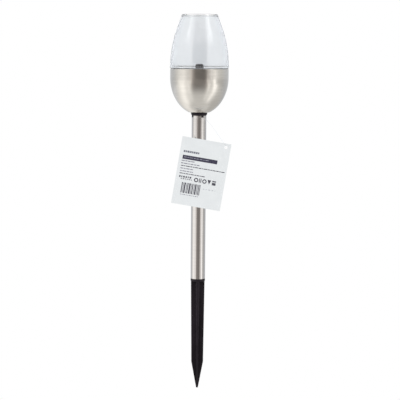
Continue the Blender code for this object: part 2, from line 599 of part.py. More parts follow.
# ------------------------------------------------------------------ slide switch
body_z = BOX_BOTTOM + BOX_WALL + GAP
middle_x = (slot_x0 + slot_x1) / 2
switch = block("switch_body", middle_x - 4.3, middle_x + 4.3, SWITCH_Y - 1.8, SWITCH_Y + 1.8,
               body_z, body_z + 3.4)
place(switch, BRASS, top_frame)
slider = block("switch_slider", SWITCH_X - KNOB_X / 2, SWITCH_X + KNOB_X / 2,
               SWITCH_Y - KNOB_Y / 2, SWITCH_Y + KNOB_Y / 2, KNOB_BOTTOM, body_z - GAP)
bevel(slider, 0.2, 1)
place(slider, WHITE, top_frame)

# ------------------------------------------------------------------ circuit board
board = block("circuit_board", -BOARD_HALF_X, BOARD_HALF_X, -BOARD_HALF_Y, BOARD_HALF_Y,
              BOARD_BOTTOM, BOARD_TOP)
place(board, BOARD, top_frame)
chip = block("control_chip", 3.2, 7.4, -1.6, 1.6, BOARD_TOP + GAP, BOARD_TOP + GAP + 1.3)
bevel(chip, 0.2, 1)
place(chip, DARK, top_frame)
choke = turned("choke_coil", [(0, 3.6), (1.1, 3.6), (1.4, 3.0), (1.4, 2.2), (1.1, 1.8),
                              (1.1, -1.8), (1.4, -2.2), (1.4, -3.0), (1.1, -3.6), (0, -3.6)],
               closed=False, steps=16)
choke.rotation_euler = (0, math.pi / 2, 0)
choke.location = mm(5.0, 5.2, BOARD_TOP + GAP + 1.4)
place(choke, SLEEVE, top_frame)

# ------------------------------------------------------------------ wires inside the head
WIRE_R = 0.45
wire_z = BOARD_TOP + GAP + WIRE_R
top_of_contact = CELL_Z + CONTACT_HALF + GAP
routes = (
    ("battery_wire_pos", RED, [(plus_x + 0.2, CELL_Y, top_of_contact),
                               (plus_x + 0.5, CELL_Y - 0.2, top_of_contact + 1.6),
                               (plus_x + 0.1, CELL_Y - 0.8, wire_z + 0.6),
                               (12.2, CELL_Y - 1.4, wire_z + 0.5), (10.5, CELL_Y - 1.8, wire_z)]),
    ("battery_wire_neg", DARK, [(minus_x + 0.2, CELL_Y, top_of_contact),
                                (minus_x + 1.0, CELL_Y - 0.2, top_of_contact + 2.2),
                                (-16.0, CELL_Y - 0.8, wire_z + 1.2),
                                (-12.6, CELL_Y - 1.4, wire_z + 0.7),
                                (-10.8, CELL_Y - 1.8, wire_z)]),
    ("solar_wire_pos", RED, [(WIRE_HOLE_X, WIRE_HOLE_Y, DECK_TOP - 0.2),
                             (WIRE_HOLE_X, WIRE_HOLE_Y, DECK_TOP - DECK_T - 0.6),
                             (WIRE_HOLE_X + 0.8, WIRE_HOLE_Y + 0.8, wire_z + 1.2),
                             (WIRE_HOLE_X + 2.6, WIRE_HOLE_Y + 1.2, wire_z)]),
    ("solar_wire_neg", DARK, [(WIRE_HOLE_X, -WIRE_HOLE_Y, DECK_TOP - 0.2),
                              (WIRE_HOLE_X, -WIRE_HOLE_Y, DECK_TOP - DECK_T - 0.6),
                              (WIRE_HOLE_X + 0.8, -WIRE_HOLE_Y + 0.8, wire_z + 1.2),
                              (WIRE_HOLE_X + 2.6, -WIRE_HOLE_Y + 1.2, wire_z)]),
)
for wire_name, wire_material, controls in routes:
    place(wire(wire_name, smooth_path(controls, 1.1), WIRE_R), wire_material, top_frame)
for i, dx in enumerate((-1.6, 1.6)):
    controls = [(middle_x + dx, SWITCH_Y + 0.6, body_z + 3.4 + GAP),
                (middle_x + dx, SWITCH_Y + 1.5, body_z + 6.5),
                (middle_x + dx, SWITCH_Y + 1.6, BOARD_BOTTOM + 0.2),
                (middle_x + dx, SWITCH_Y + 0.6, wire_z + 1.0),
                (middle_x + dx, SWITCH_Y - 1.8, wire_z)]
    place(wire(f"switch_wire_{i + 1}", smooth_path(controls, 1.3), WIRE_R), DARK, top_frame)

# ------------------------------------------------------------------ swing tag and its tie
hx, hy, hz = TAG_HOLE
left, right = -TAG_HOLE_DX - TAG_W / 2, -TAG_HOLE_DX + TAG_W / 2
low, high = -TAG_HOLE_DY - TAG_H / 2, -TAG_HOLE_DY + TAG_H / 2
ring_hole = [(TAG_HOLE_R * math.cos(2 * math.pi * i / 20), TAG_HOLE_R * math.sin(2 * math.pi * i / 20))
             for i in range(20)]
card = outline("tag_card", [[(left, low), (right, low), (right, high), (left, high)], ring_hole],
               TAG_T / 2)
card.rotation_euler = (math.pi / 2, math.radians(TAG_TILT), 0)
card.location = mm(hx, hy, hz)
place(card, CARD, tie_frame)

bend = 1.5                     # the loop turns back through the card's hole at this radius
loop = ([(hx, hy + bend * math.sin(math.radians(a)), hz + 1.0 - bend * math.cos(math.radians(a)))
         for a in (90, 45, 0, -45, -90)]
        + [(hx - 1.6, hy - bend - 0.05, hz + 3.4), (20.2, hy - bend, 139.6),
           (14.6, hy - 1.3, 147.2), (9.2, hy - 0.9, 153.6), (4.4, hy - 0.2, 157.2)]
        + [(TIE_RING_R * math.cos(math.radians(a)), TIE_RING_R * math.sin(math.radians(a)), TIE_RING_Z)
           for a in (-90, -120, -150, -180, -210, -232)]
        + [(-2.4, TIE_BACK_R, TIE_RING_Z), (0, TIE_BACK_R, TIE_RING_Z), (2.4, TIE_BACK_R, TIE_RING_Z)]
        + [(6.4, 6.9, 156.4), (10.4, 3.6, 152.0), (14.9, -0.3, 146.3), (20.0, -3.9, 139.0),
           (hx - 1.7, hy + bend + 0.2, hz + 3.4)])
path = smooth_path(loop, 1.9, closed=True)
lock_at = min(range(len(path)), key=lambda i: (path[i] - Vector((0, TIE_BACK_R, TIE_RING_Z))).length)
turned_path = path[lock_at:-1] + path[:lock_at]
centre = Vector((0, TIE_BACK_R, TIE_RING_Z))
along = Vector((1, 0, 0))
reach = LOCK_LENGTH / 2 + GAP
strand = [p for p in turned_path if (p - centre).length > reach + 0.2]
if (strand[0] - centre).dot(along) < 0:
    along = -along
strand = [centre + along * reach] + strand + [centre - along * reach]
place(wire("tag_tie", [tuple(p) for p in strand], TIE_R), NYLON, tie_frame)
lock = turned("tie_lock", [(0, LOCK_LENGTH / 2), (LOCK_R - 0.4, LOCK_LENGTH / 2),
                           (LOCK_R, LOCK_LENGTH / 2 - 0.5), (LOCK_R, -LOCK_LENGTH / 2 + 0.5),
                           (LOCK_R - 0.4, -LOCK_LENGTH / 2), (0, -LOCK_LENGTH / 2)],
              closed=False, steps=16)
lock.rotation_mode = "QUATERNION"
lock.rotation_quaternion = along.to_track_quat("Z", "Y")
lock.location = mm(*centre)
place(lock, NYLON, tie_frame)
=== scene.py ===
"""The solar garden light's finished look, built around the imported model.

Every length below is in metres unless a name or comment says mm. All positions come from the
part's own design sizes. The order is: camera, world and floor, helpers, materials, pieces.
"""

import math

import bmesh
import bpy
from mathutils import Matrix, Quaternion, Vector


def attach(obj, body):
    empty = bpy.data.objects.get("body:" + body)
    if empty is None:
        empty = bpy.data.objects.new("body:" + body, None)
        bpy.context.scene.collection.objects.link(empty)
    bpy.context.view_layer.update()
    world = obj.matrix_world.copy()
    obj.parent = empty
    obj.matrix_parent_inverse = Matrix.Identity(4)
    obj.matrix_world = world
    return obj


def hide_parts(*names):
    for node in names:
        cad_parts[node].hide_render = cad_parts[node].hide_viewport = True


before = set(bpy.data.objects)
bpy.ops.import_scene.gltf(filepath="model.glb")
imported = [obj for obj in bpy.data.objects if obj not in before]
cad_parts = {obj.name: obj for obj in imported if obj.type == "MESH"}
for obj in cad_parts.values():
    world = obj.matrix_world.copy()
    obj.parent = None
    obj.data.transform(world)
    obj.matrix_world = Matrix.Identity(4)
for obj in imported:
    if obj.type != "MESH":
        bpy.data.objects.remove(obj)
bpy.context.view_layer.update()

scene = bpy.context.scene
scene.view_settings.view_transform = "Standard"
scene.view_settings.look = "None"

# ================================================================== camera
PITCH, YAW, ROLL, FOCAL_PX = math.radians(6.578), math.radians(0.0731), math.radians(0.47), 1255.22
look = Vector((math.sin(YAW) * math.cos(PITCH), math.cos(YAW) * math.cos(PITCH), -math.sin(PITCH)))
level = Vector((math.cos(YAW), -math.sin(YAW), 0.0))
upward = level.cross(look)
cam_x = level * math.cos(ROLL) + upward * math.sin(ROLL)
cam_y = -level * math.sin(ROLL) + upward * math.cos(ROLL)
cam_data = bpy.data.cameras.new("camera")
cam_data.sensor_fit = "HORIZONTAL"
cam_data.sensor_width = 36.0
cam_data.lens = FOCAL_PX * 36.0 / 400.0
cam_data.clip_start, cam_data.clip_end = 0.01, 100.0
camera = bpy.data.objects.new("camera", cam_data)
scene.collection.objects.link(camera)
camera.matrix_world = Matrix((
    (cam_x.x, cam_y.x, -look.x, 0.0),
    (cam_x.y, cam_y.y, -look.y, -1.2),
    (cam_x.z, cam_y.z, -look.z, 0.21693),
    (0.0, 0.0, 0.0, 1.0)))
scene.camera = camera


# ================================================================== node helper
class Graph:
    """Short calls for building a node tree."""

    def __init__(self, tree):
        self.tree = tree
        self.nodes, self.links = tree.nodes, tree.links

    def add(self, kind, inputs=None, **settings):
        node = self.nodes.new(kind)
        for key, value in settings.items():
            setattr(node, key, value)
        for key, value in (inputs or {}).items():
            socket = node.inputs[key]
            if isinstance(value, bpy.types.NodeSocket):
                self.links.new(value, socket)
            else:
                socket.default_value = value
        return node

    def math(self, operation, a, b=None, c=None, clamp=False):
        node = self.add("ShaderNodeMath", operation=operation, use_clamp=clamp)
        for i, value in enumerate((a, b, c)):
            if value is None:
                continue
            if isinstance(value, bpy.types.NodeSocket):
                self.links.new(value, node.inputs[i])
            else:
                node.inputs[i].default_value = value
        return node.outputs[0]

    def span(self, value, low, high, to_low=0.0, to_high=1.0, smooth=True):
        node = self.add("ShaderNodeMapRange", interpolation_type="SMOOTHSTEP" if smooth else "LINEAR")
        for key, v in (("Value", value), ("From Min", low), ("From Max", high),
                       ("To Min", to_low), ("To Max", to_high)):
            socket = node.inputs[key]
            if isinstance(v, bpy.types.NodeSocket):
                self.links.new(v, socket)
            else:
                socket.default_value = v
        return node.outputs["Result"]

    def mix(self, factor, a, b, kind="MIX"):
        node = self.add("ShaderNodeMix", data_type="RGBA", blend_type=kind)
        node.clamp_factor = True
        for socket, value in ((node.inputs[0], factor), (node.inputs[6], a), (node.inputs[7], b)):
            if isinstance(value, bpy.types.NodeSocket):
                self.links.new(value, socket)
            else:
                socket.default_value = value
        return node.outputs[2]

    def blend(self, factor, a, b):
        node = self.add("ShaderNodeMix", data_type="FLOAT")
        for socket, value in ((node.inputs[0], factor), (node.inputs[2], a), (node.inputs[3], b)):
            if isinstance(value, bpy.types.NodeSocket):
                self.links.new(value, socket)
            else:
                socket.default_value = value
        return node.outputs[0]

    def ramp(self, factor, stops, interpolation="LINEAR"):
        node = self.add("ShaderNodeValToRGB", {"Fac": factor})
        node.color_ramp.interpolation = interpolation
        elements = node.color_ramp.elements
        while len(elements) > 1:
            elements.remove(elements[-1])
        for i, (at, value) in enumerate(stops):
            e = elements[0] if i == 0 else elements.new(at)
            e.position = at
            e.color = (value, value, value, 1.0) if isinstance(value, float) else (*value, 1.0)
        return node.outputs["Color"]

    def noise(self, vector, scale, detail=3.0, roughness=0.55, distortion=0.0):
        return self.add("ShaderNodeTexNoise", {"Vector": vector, "Scale": scale, "Detail": detail,
                                               "Roughness": roughness, "Distortion": distortion}
                        ).outputs["Fac"]

    def stretched(self, vector, scale):
        return self.add("ShaderNodeMapping", {"Vector": vector, "Scale": scale}).outputs["Vector"]


# ================================================================== world, light and floor
SHINE = 0.65                   # share of the light that the steel gives back

# How bright the studio looks in a mirror of that steel, by azimuth in degrees from the front
# (negative to the left), at four heights. The dark middle is the gap between the front panels.
AT_EYE_LEVEL = ((-180, .48), (-155, .46), (-132, .42), (-112, .40), (-98, .45), (-84, .55), (-72, .62), (-62, .67), (-54, .54), (-46, .38),
                (-30, .38), (-22, .32), (-13, .18), (-2, .155), (22, .14), (33, .18), (41, .32), (48, .62),
                (53, .52), (58, .52), (69, .65), (77, .60), (86, .48), (98, .42), (132, .42), (155, .46),
                (180, .48))
JUST_BELOW = ((-180, .46), (-134, .44), (-118, .46), (-106, .50), (-96, .62), (-86, .80), (-64, .84), (-54, .70), (-42, .66), (-34, .66),
              (-26, .26), (-18, .19), (20, .16), (27, .26), (33, .60), (44, .54), (53, .62), (59, .99),
              (66, .98), (72, .52), (80, .40), (105, .36), (140, .40), (180, .46))
BOWL = ((-180, .50), (-118, .56), (-102, .65), (-90, .78), (-78, .94), (-68, .94), (-58, .76), (-52, .70),
        (-46, .78), (-38, .64), (-31, .30), (-25, .19), (-16, .15), (14, .15), (25, .20), (32, .34),
        (38, .78), (45, .66), (51, .54), (57, .66), (65, .98), (74, .92), (82, .66), (90, .50),
        (110, .42), (150, .38), (180, .44))
UNDER = ((-180, .62), (-122, .76), (-104, .84), (-90, .92), (-76, .78), (-62, .66), (-54, .64), (-47, .66),
         (-38, .56), (-30, .50), (-20, .48), (18, .48), (28, .56), (36, .66), (43, .60), (50, .62),
         (58, .82), (66, .84), (76, .58), (90, .44), (110, .40), (150, .38), (180, .46))
JUST_ABOVE = ((-180, .48), (-155, .50), (-120, .64), (-100, .66), (-70, .72), (-40, .66), (-31, .50), (-24, .10), (-16, .0), (18, .0),
              (26, .10), (33, .50), (42, .66), (100, .66), (120, .64),
              (155, .50), (180, .48))
ABOVE = ((-180, .80), (-100, .80), (-76, .85), (-68, 1.15), (-60, 1.8), (-52, 1.8), (-44, 1.2), (-36, .80),
         (-26, .42), (0, .38), (26, .42), (34, .60), (40, 1.5), (46, 1.9), (56, 2.5), (62, 1.9), (69, .95),
         (80, .80), (180, .80))

world = bpy.data.worlds.new("studio")
scene.world = world
world.use_nodes = True
world.node_tree.nodes.clear()
g = Graph(world.node_tree)
direction = g.add("ShaderNodeTexCoord").outputs["Generated"]
xyz = g.add("ShaderNodeSeparateXYZ", {"Vector": direction}).outputs
colour_white = (1.0, 1.0, 1.0, 1.0)
turn = g.math("ARCTAN2", xyz["X"], g.math("MULTIPLY", xyz["Y"], -1.0))
turn = g.math("MULTIPLY_ADD", turn, 0.5 / math.pi, 0.5)
height = g.math("MULTIPLY", g.math("ARCSINE", xyz["Z"]), 180.0 / math.pi)


def ring_light(table, scale):
    stops = [((az + 180.0) / 360.0, value / scale) for az, value in table]
    lit = g.ramp(turn, stops, "EASE")
    grey = g.add("ShaderNodeSeparateColor", {"Color": lit}).outputs["Red"]
    return g.math("MULTIPLY", grey, scale / SHINE)


lit = ring_light(AT_EYE_LEVEL, 1.0)
lit = g.blend(g.span(height, -1.8, -4.0), lit, ring_light(JUST_BELOW, 1.0))
lit = g.blend(g.span(height, -10.5, -14.5), lit, ring_light(BOWL, 1.0))
lit = g.blend(g.span(height, -20.0, -46.0), lit, ring_light(UNDER, 1.0))
lit = g.blend(g.span(height, -50.0, -70.0), lit, 0.76)
lit = g.blend(g.span(height, 0.8, 3.2), lit, ring_light(JUST_ABOVE, 1.0))
lit = g.blend(g.span(height, 16.0, 30.0), lit, ring_light(ABOVE, 4.0))
lit = g.blend(g.span(height, 46.0, 64.0), lit, 1.15)
soft = g.span(xyz["Z"], -1.0, 1.0, 0.86, 1.08, smooth=False)
path = g.add("ShaderNodeLightPath").outputs
chosen = g.blend(path["Is Glossy Ray"], soft, lit)
mirrored = g.math("MINIMUM", path["Glossy Depth"], 1.0)
behind = g.blend(g.span(xyz["Y"], -0.85, -0.55), lit, 1.0)
behind = g.blend(mirrored, 1.0, behind)
chosen = g.blend(path["Is Transmission Ray"], chosen, behind)
bounced = g.math("MINIMUM", path["Diffuse Depth"], 1.0)
chosen = g.blend(bounced, chosen, soft)
chosen = g.blend(path["Is Camera Ray"], chosen, 1.0)
off_front = g.math("ABSOLUTE", g.math("SUBTRACT", turn, 0.5))
hue = g.ramp(off_front, [(0.0, (1.045, 0.970, 0.925)), (0.07, (1.045, 0.970, 0.925)), (0.12, (1.005, 0.988, 0.975)),
                         (0.27, (1.0, 1.0, 0.99)), (0.34, (0.97, 1.0, 1.05)), (0.5, (0.97, 1.0, 1.05))])
hue = g.mix(g.span(height, -14.0, -34.0), hue, (1.0, 0.995, 0.985, 1.0))
glossy = g.math("MULTIPLY", path["Is Glossy Ray"], g.math("SUBTRACT", 1.0, bounced))
hue = g.mix(glossy, colour_white, hue)
background = g.add("ShaderNodeBackground", {"Color": hue, "Strength": chosen})
g.add("ShaderNodeOutputWorld", {"Surface": background.outputs[0]})
world.cycles.sampling_method = "NONE"

floor_mesh = bpy.data.meshes.new("floor")
floor_mesh.from_pydata([(-6, -6, 0), (6, -6, 0), (6, 6, 0), (-6, 6, 0)], [], [(0, 1, 2, 3)])
floor = bpy.data.objects.new("floor", floor_mesh)
scene.collection.objects.link(floor)
floor.location = (0.0, 0.0, -0.1075)
floor_material = bpy.data.materials.new("pale_floor")
floor_material.use_nodes = True
floor_material.node_tree.nodes.clear()
g = Graph(floor_material.node_tree)
pale = g.add("ShaderNodeEmission", {"Color": (1.0, 1.0, 1.0, 1.0), "Strength": 1.0}).outputs[0]
open_side = g.add("ShaderNodeBsdfTransparent").outputs[0]
from_below = g.add("ShaderNodeNewGeometry").outputs["Backfacing"]
shown = g.add("ShaderNodeMixShader", {0: from_below, 1: pale, 2: open_side}).outputs[0]
g.add("ShaderNodeOutputMaterial", {"Surface": shown})
floor_mesh.materials.append(floor_material)
floor.visible_glossy = floor.visible_diffuse = floor.visible_transmission = False
floor.visible_shadow = False


def soft_light(name, place, aim, size, power):
    data = bpy.data.lights.new(name, "AREA")
    data.shape = "DISK"
    data.size = size
    data.energy = power
    lamp = bpy.data.objects.new(name, data)
    scene.collection.objects.link(lamp)
    lamp.location = place
    lamp.rotation_euler = (Vector(aim) - Vector(place)).to_track_quat("-Z", "Y").to_euler()
    lamp.visible_glossy = lamp.visible_transmission = lamp.visible_camera = False
    return lamp


soft_light("key_light", (-0.9, -1.1, 1.1), (0, 0, 0.1), 0.9, 2.2)


# ================================================================== mesh helpers
def finish_mesh(name, mesh, angle=35.0, weighted=True):
    """An object from a closed mesh, with its faces turned outwards and smooth shading."""
    bm = bmesh.new()
    bm.from_mesh(mesh)
    bmesh.ops.remove_doubles(bm, verts=bm.verts, dist=1e-7)
    bmesh.ops.recalc_face_normals(bm, faces=bm.faces)
    bm.to_mesh(mesh)
    bm.free()
    mesh.shade_smooth()
    mesh.set_sharp_from_angle(angle=math.radians(angle))
    obj = bpy.data.objects.new(name, mesh)
    scene.collection.objects.link(obj)
    if weighted:
        normals = obj.modifiers.new("Normals", "WEIGHTED_NORMAL")
        normals.keep_sharp = True
        normals.weight = 60
    return obj


def eased(points, closed=False, segments=4):
    """A profile in mm whose corners are rounded: each point is (r, z) or (r, z, corner radius)."""
    n, made = len(points), []
    for i, p in enumerate(points):
        here = Vector(p[:2])
        radius = p[2] if len(p) > 2 else 0.0
        if radius <= 0 or (not closed and i in (0, n - 1)):
            made.append(tuple(here))
            continue
        before, after = Vector(points[i - 1][:2]), Vector(points[(i + 1) % n][:2])
        a, b = (before - here).normalized(), (after - here).normalized()
        half = math.acos(max(-1.0, min(1.0, a.dot(b)))) / 2
        if half > math.radians(88):
            made.append(tuple(here))
            continue
        reach = radius / math.tan(half)
        reach = min(reach, 0.48 * (before - here).length, 0.48 * (after - here).length)
        radius = reach * math.tan(half)
        centre = here + (a + b).normalized() * (radius / math.sin(half))
        start, end = here + a * reach, here + b * reach
        from_c, to_c = start - centre, end - centre
        sweep = from_c.angle_signed(to_c) if from_c.length > 1e-9 else 0.0
        for k in range(segments + 1):
            t = -sweep * k / segments
            made.append((centre.x + from_c.x * math.cos(t) - from_c.y * math.sin(t),
                         centre.y + from_c.x * math.sin(t) + from_c.y * math.cos(t)))
    return made


def lathe_mesh(name, profile, closed, steps):
    """A closed turned mesh from (radius, height) in mm."""
    mesh = bpy.data.meshes.new(name)
    verts, rows = [], []
    for r, z in profile:
        if r < 1e-6:
            rows.append([len(verts)])
            verts.append((0.0, 0.0, z * 0.001))
        else:
            rows.append(list(range(len(verts), len(verts) + steps)))
            for k in range(steps):
                a = 2 * math.pi * k / steps
                verts.append((r * math.cos(a) * 0.001, r * math.sin(a) * 0.001, z * 0.001))
    faces = []
    pairs = list(zip(rows, rows[1:])) + ([(rows[-1], rows[0])] if closed else [])
    for a, b in pairs:
        if len(a) == 1 and len(b) == 1:
            continue
        for k in range(steps):
            n = (k + 1) % steps
            if len(a) == 1:
                faces.append((a[0], b[k], b[n]))
            elif len(b) == 1:
                faces.append((a[k], b[0], a[n]))
            else:
                faces.append((a[k], b[k], b[n], a[n]))
    mesh.from_pydata(verts, [], faces)
    return mesh


def lathe(name, points, closed=False, steps=128, corner=4, angle=35.0, weighted=True):
    return finish_mesh(name, lathe_mesh(name, eased(points, closed, corner), closed, steps), angle, weighted)


def box_mesh(name, x0, x1, y0, y1, z0, z1, round_off=0.0, segments=3):
    """A box from its limits in mm, with rounded edges."""
    bm = bmesh.new()
    bmesh.ops.create_cube(bm, size=1.0)
    for v in bm.verts:
        v.co = Vector((((x0 + x1) / 2 + v.co.x * (x1 - x0)) * 0.001,
                       ((y0 + y1) / 2 + v.co.y * (y1 - y0)) * 0.001,
                       ((z0 + z1) / 2 + v.co.z * (z1 - z0)) * 0.001))
    if round_off > 0:
        bmesh.ops.bevel(bm, geom=list(bm.edges), offset=round_off * 0.001, segments=segments,
                        profile=0.5, affect="EDGES", clamp_overlap=True)
    mesh = bpy.data.meshes.new(name)
    bm.to_mesh(mesh)
    bm.free()
    return mesh


def upright_mesh(name, radius, z0, z1, x, y, sides=32, corner=0.0):
    mesh = lathe_mesh(name, eased([(0, z1), (radius, z1, corner), (radius, z0, corner), (0, z0)]),
                      False, sides)
    mesh.transform(Matrix.Translation((x * 0.001, y * 0.001, 0)))
    return mesh


def outward(mesh):
    bm = bmesh.new()
    bm.from_mesh(mesh)
    bmesh.ops.recalc_face_normals(bm, faces=bm.faces)
    bm.to_mesh(mesh)
    bm.free()


def combined(name, base, tools, angle=35.0):
    """A mesh after exact unions and cuts with other meshes: tools is a list of (operation, mesh)."""
    outward(base)
    work = bpy.data.objects.new(name + "_work", base)
    scene.collection.objects.link(work)
    helpers = []
    for operation, mesh in tools:
        outward(mesh)
        helper = bpy.data.objects.new(name + "_tool", mesh)
        scene.collection.objects.link(helper)
        helpers.append(helper)
        change = work.modifiers.new("Change", "BOOLEAN")
        change.operation = operation
        change.solver = "EXACT"
        change.object = helper
    bpy.context.view_layer.update()
    graph = bpy.context.evaluated_depsgraph_get()
    mesh = bpy.data.meshes.new_from_object(work.evaluated_get(graph))
    for o in helpers + [work]:
        bpy.data.objects.remove(o)
    mesh.name = name
    return finish_mesh(name, mesh, angle)


def piece(obj, material, body, stands_for=()):
    """Gives a finished piece its material and body, and hides the nodes of the imported model that it stands for."""
    obj.data.materials.clear()
    obj.data.materials.append(material)
    for p in obj.data.polygons:
        p.material_index = 0
    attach(obj, body)
    if stands_for:
        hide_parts(*stands_for)
    return obj


def dress(node, material):
    """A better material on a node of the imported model."""
    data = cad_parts[node].data
    data.materials.clear()
    data.materials.append(material)


def smooth_path(controls, spacing, closed=False):
    """Points at about the given spacing along a Catmull-Rom curve through the controls."""
    c = [Vector(p) for p in controls]
    n = len(c)
    dense = []
    for i in range(n if closed else n - 1):
        if closed:
            p0, p1, p2, p3 = c[(i - 1) % n], c[i], c[(i + 1) % n], c[(i + 2) % n]
        else:
            p0, p1, p2, p3 = c[max(i - 1, 0)], c[i], c[i + 1], c[min(i + 2, n - 1)]
        for k in range(24):
            t = k / 24
            dense.append(0.5 * ((2 * p1) + (p2 - p0) * t + (2 * p0 - 5 * p1 + 4 * p2 - p3) * t * t
                                + (3 * p1 - 3 * p2 + p3 - p0) * t * t * t))
    dense.append(c[0].copy() if closed else c[-1].copy())
    lengths = [0.0]
    for a, b in zip(dense, dense[1:]):
        lengths.append(lengths[-1] + (b - a).length)
    total = lengths[-1]
    count = max(2, round(total / spacing))
    found, j = [], 0
    for k in range(count + 1):
        s = total * k / count
        while j < len(lengths) - 2 and lengths[j + 1] < s:
            j += 1
        gap = lengths[j + 1] - lengths[j]
        t = 0.0 if gap == 0 else (s - lengths[j]) / gap
        found.append(dense[j].lerp(dense[j + 1], t))
    return found


def tube_mesh(name, points, radius, sides=14):
    """A round strand along points in mm, with domed ends."""
    pts = [Vector(p) for p in points]
    tangents = []
    for i in range(len(pts)):
        a, b = pts[max(i - 1, 0)], pts[min(i + 1, len(pts) - 1)]
        tangents.append((b - a).normalized())
    side = tangents[0].orthogonal().normalized()
    rings = []
    for i, (p, t) in enumerate(zip(pts, tangents)):
        side = (side - t * side.dot(t)).normalized()
        other = t.cross(side)
        if i == 0:
            rings.append((p - t * radius * 0.6, side, other, radius * 0.55))
        rings.append((p, side, other, radius))
        if i == len(pts) - 1:
            rings.append((p + t * radius * 0.6, side, other, radius * 0.55))
    verts, faces = [], []
    for centre, u, v, r in rings:
        for k in range(sides):
            a = 2 * math.pi * k / sides
            verts.append((centre + (u * math.cos(a) + v * math.sin(a)) * r) * 0.001)
    for i in range(len(rings) - 1):
        for k in range(sides):
            n = (k + 1) % sides
            faces.append((i * sides + k, i * sides + n, (i + 1) * sides + n, (i + 1) * sides + k))
    faces.append(tuple(range(sides - 1, -1, -1)))
    last = (len(rings) - 1) * sides
    faces.append(tuple(range(last, last + sides)))
    mesh = bpy.data.meshes.new(name)
    mesh.from_pydata(verts, [], faces)
    return mesh


# ================================================================== materials
def start(name):
    """A material with one Principled shader: returns the material, its graph, the shader and the object coordinates."""
    m = bpy.data.materials.new(name)
    m.use_nodes = True
    m.node_tree.nodes.clear()
    g = Graph(m.node_tree)
    out = g.add("ShaderNodeOutputMaterial")
    shader = g.add("ShaderNodeBsdfPrincipled")
    g.links.new(shader.outputs[0], out.inputs["Surface"])
    where = g.add("ShaderNodeTexCoord").outputs["Object"]
    return m, g, shader, where


def setting(shader, **values):
    names = {"specular": "Specular IOR Level", "ior": "IOR", "transmission": "Transmission Weight",
             "coat": "Coat Weight", "coat_roughness": "Coat Roughness", "anisotropic": "Anisotropic",
             "anisotropic_turn": "Anisotropic Rotation", "metallic": "Metallic", "sheen": "Sheen Weight",
             "roughness": "Roughness", "subsurface": "Subsurface Weight", "alpha": "Alpha"}
    for key, value in values.items():
        shader.inputs[names[key]].default_value = value


def colour(*rgb):
    return (*rgb, 1.0)


def bumped(g, shader, height_value, distance, strength=1.0, normal=None):
    inputs = {"Height": height_value, "Distance": distance, "Strength": strength}
    if normal is not None:
        inputs["Normal"] = normal
    bump = g.add("ShaderNodeBump", inputs)
    g.links.new(bump.outputs["Normal"], shader.inputs["Normal"])
    return bump.outputs["Normal"]


def brushed_steel(name, tint, low, high, lines, anisotropic):
    """Steel brushed round its axis: long fine scratches, soft cloudiness and slow changes of polish."""
    m, g, shader, where = start(name)
    setting(shader, metallic=1.0, anisotropic=anisotropic, anisotropic_turn=0.25)
    tangent = g.add("ShaderNodeTangent", direction_type="RADIAL", axis="Z").outputs[0]
    g.links.new(tangent, shader.inputs["Tangent"])
    fine = g.noise(g.stretched(where, (90, 90, 7000)), 1.0, 4.0, 0.6)
    broad = g.noise(g.stretched(where, (35, 35, 1100)), 1.0, 3.0, 0.5)
    cloud = g.noise(where, 55.0, 3.0, 0.5)
    grain = g.math("MULTIPLY_ADD", fine, 0.6, g.math("MULTIPLY", broad, 0.4))
    dark = colour(tint[0] * 0.93, tint[1] * 0.93, tint[2] * 0.93)
    bright = colour(*(min(1.0, c * 1.05) for c in tint))
    g.links.new(g.mix(g.span(grain, 0.3, 0.7), dark, bright), shader.inputs["Base Color"])
    polish = g.math("ADD", g.span(cloud, 0.3, 0.7, low, high), g.span(fine, 0.25, 0.75, -0.02, 0.03))
    g.links.new(polish, shader.inputs["Roughness"])
    bumped(g, shader, grain, lines)
    return m


def moulded(name, base, rough, specular=0.5, grain=0.00002, fleck=0.35, scuff=0.0, coat=0.0):
    """Injection-moulded plastic: fine spark texture, faint flow variation and light scuffs."""
    m, g, shader, where = start(name)
    setting(shader, specular=specular, coat=coat)
    spark = g.noise(where, 2600.0, 2.0, 0.6)
    flow = g.noise(g.stretched(where, (60, 60, 25)), 1.0, 4.0, 0.55, 0.6)
    dark = colour(*(c * (1 - fleck) for c in base))
    light = colour(*(min(1.0, c * (1 + fleck)) for c in base))
    tone = g.mix(g.span(flow, 0.3, 0.7), dark, light)
    if scuff > 0:
        marks = g.noise(g.stretched(where, (900, 900, 90)), 1.0, 5.0, 0.7, 0.4)
        rubbed = g.math("MULTIPLY", g.span(marks, 0.60, 0.72), scuff)
        tone = g.mix(rubbed, tone, colour(*(min(1.0, c + 0.05) for c in base)))
    g.links.new(tone, shader.inputs["Base Color"])
    g.links.new(g.math("ADD", g.span(flow, 0.3, 0.7, rough - 0.05, rough + 0.05),
                       g.span(spark, 0.3, 0.7, -0.03, 0.03)), shader.inputs["Roughness"])
    bumped(g, shader, spark, grain)
    return m


BLACK = moulded("black_moulded_plastic", (0.0130, 0.0090, 0.0130), 0.46, specular=0.19, scuff=0.25)
HOUSING = moulded("black_housing_plastic", (0.012, 0.012, 0.014), 0.42, specular=0.35, scuff=0.15)
WHITE = moulded("white_moulded_plastic", (0.74, 0.75, 0.75), 0.42, specular=0.45, fleck=0.035)
KNOB = moulded("knob_plastic", (0.70, 0.71, 0.72), 0.36, specular=0.5, fleck=0.05)
RUBBER = moulded("seal_rubber", (0.15, 0.15, 0.155), 0.78, specular=0.25, grain=0.00004, fleck=0.3)
CHIP = moulded("chip_epoxy", (0.020, 0.020, 0.021), 0.62, specular=0.35, grain=0.00003, fleck=0.25)
RED_WIRE = moulded("red_insulation", (0.46, 0.018, 0.014), 0.42, specular=0.45, fleck=0.12)
BLACK_WIRE = moulded("black_insulation", (0.016, 0.016, 0.017), 0.42, specular=0.4, fleck=0.2)
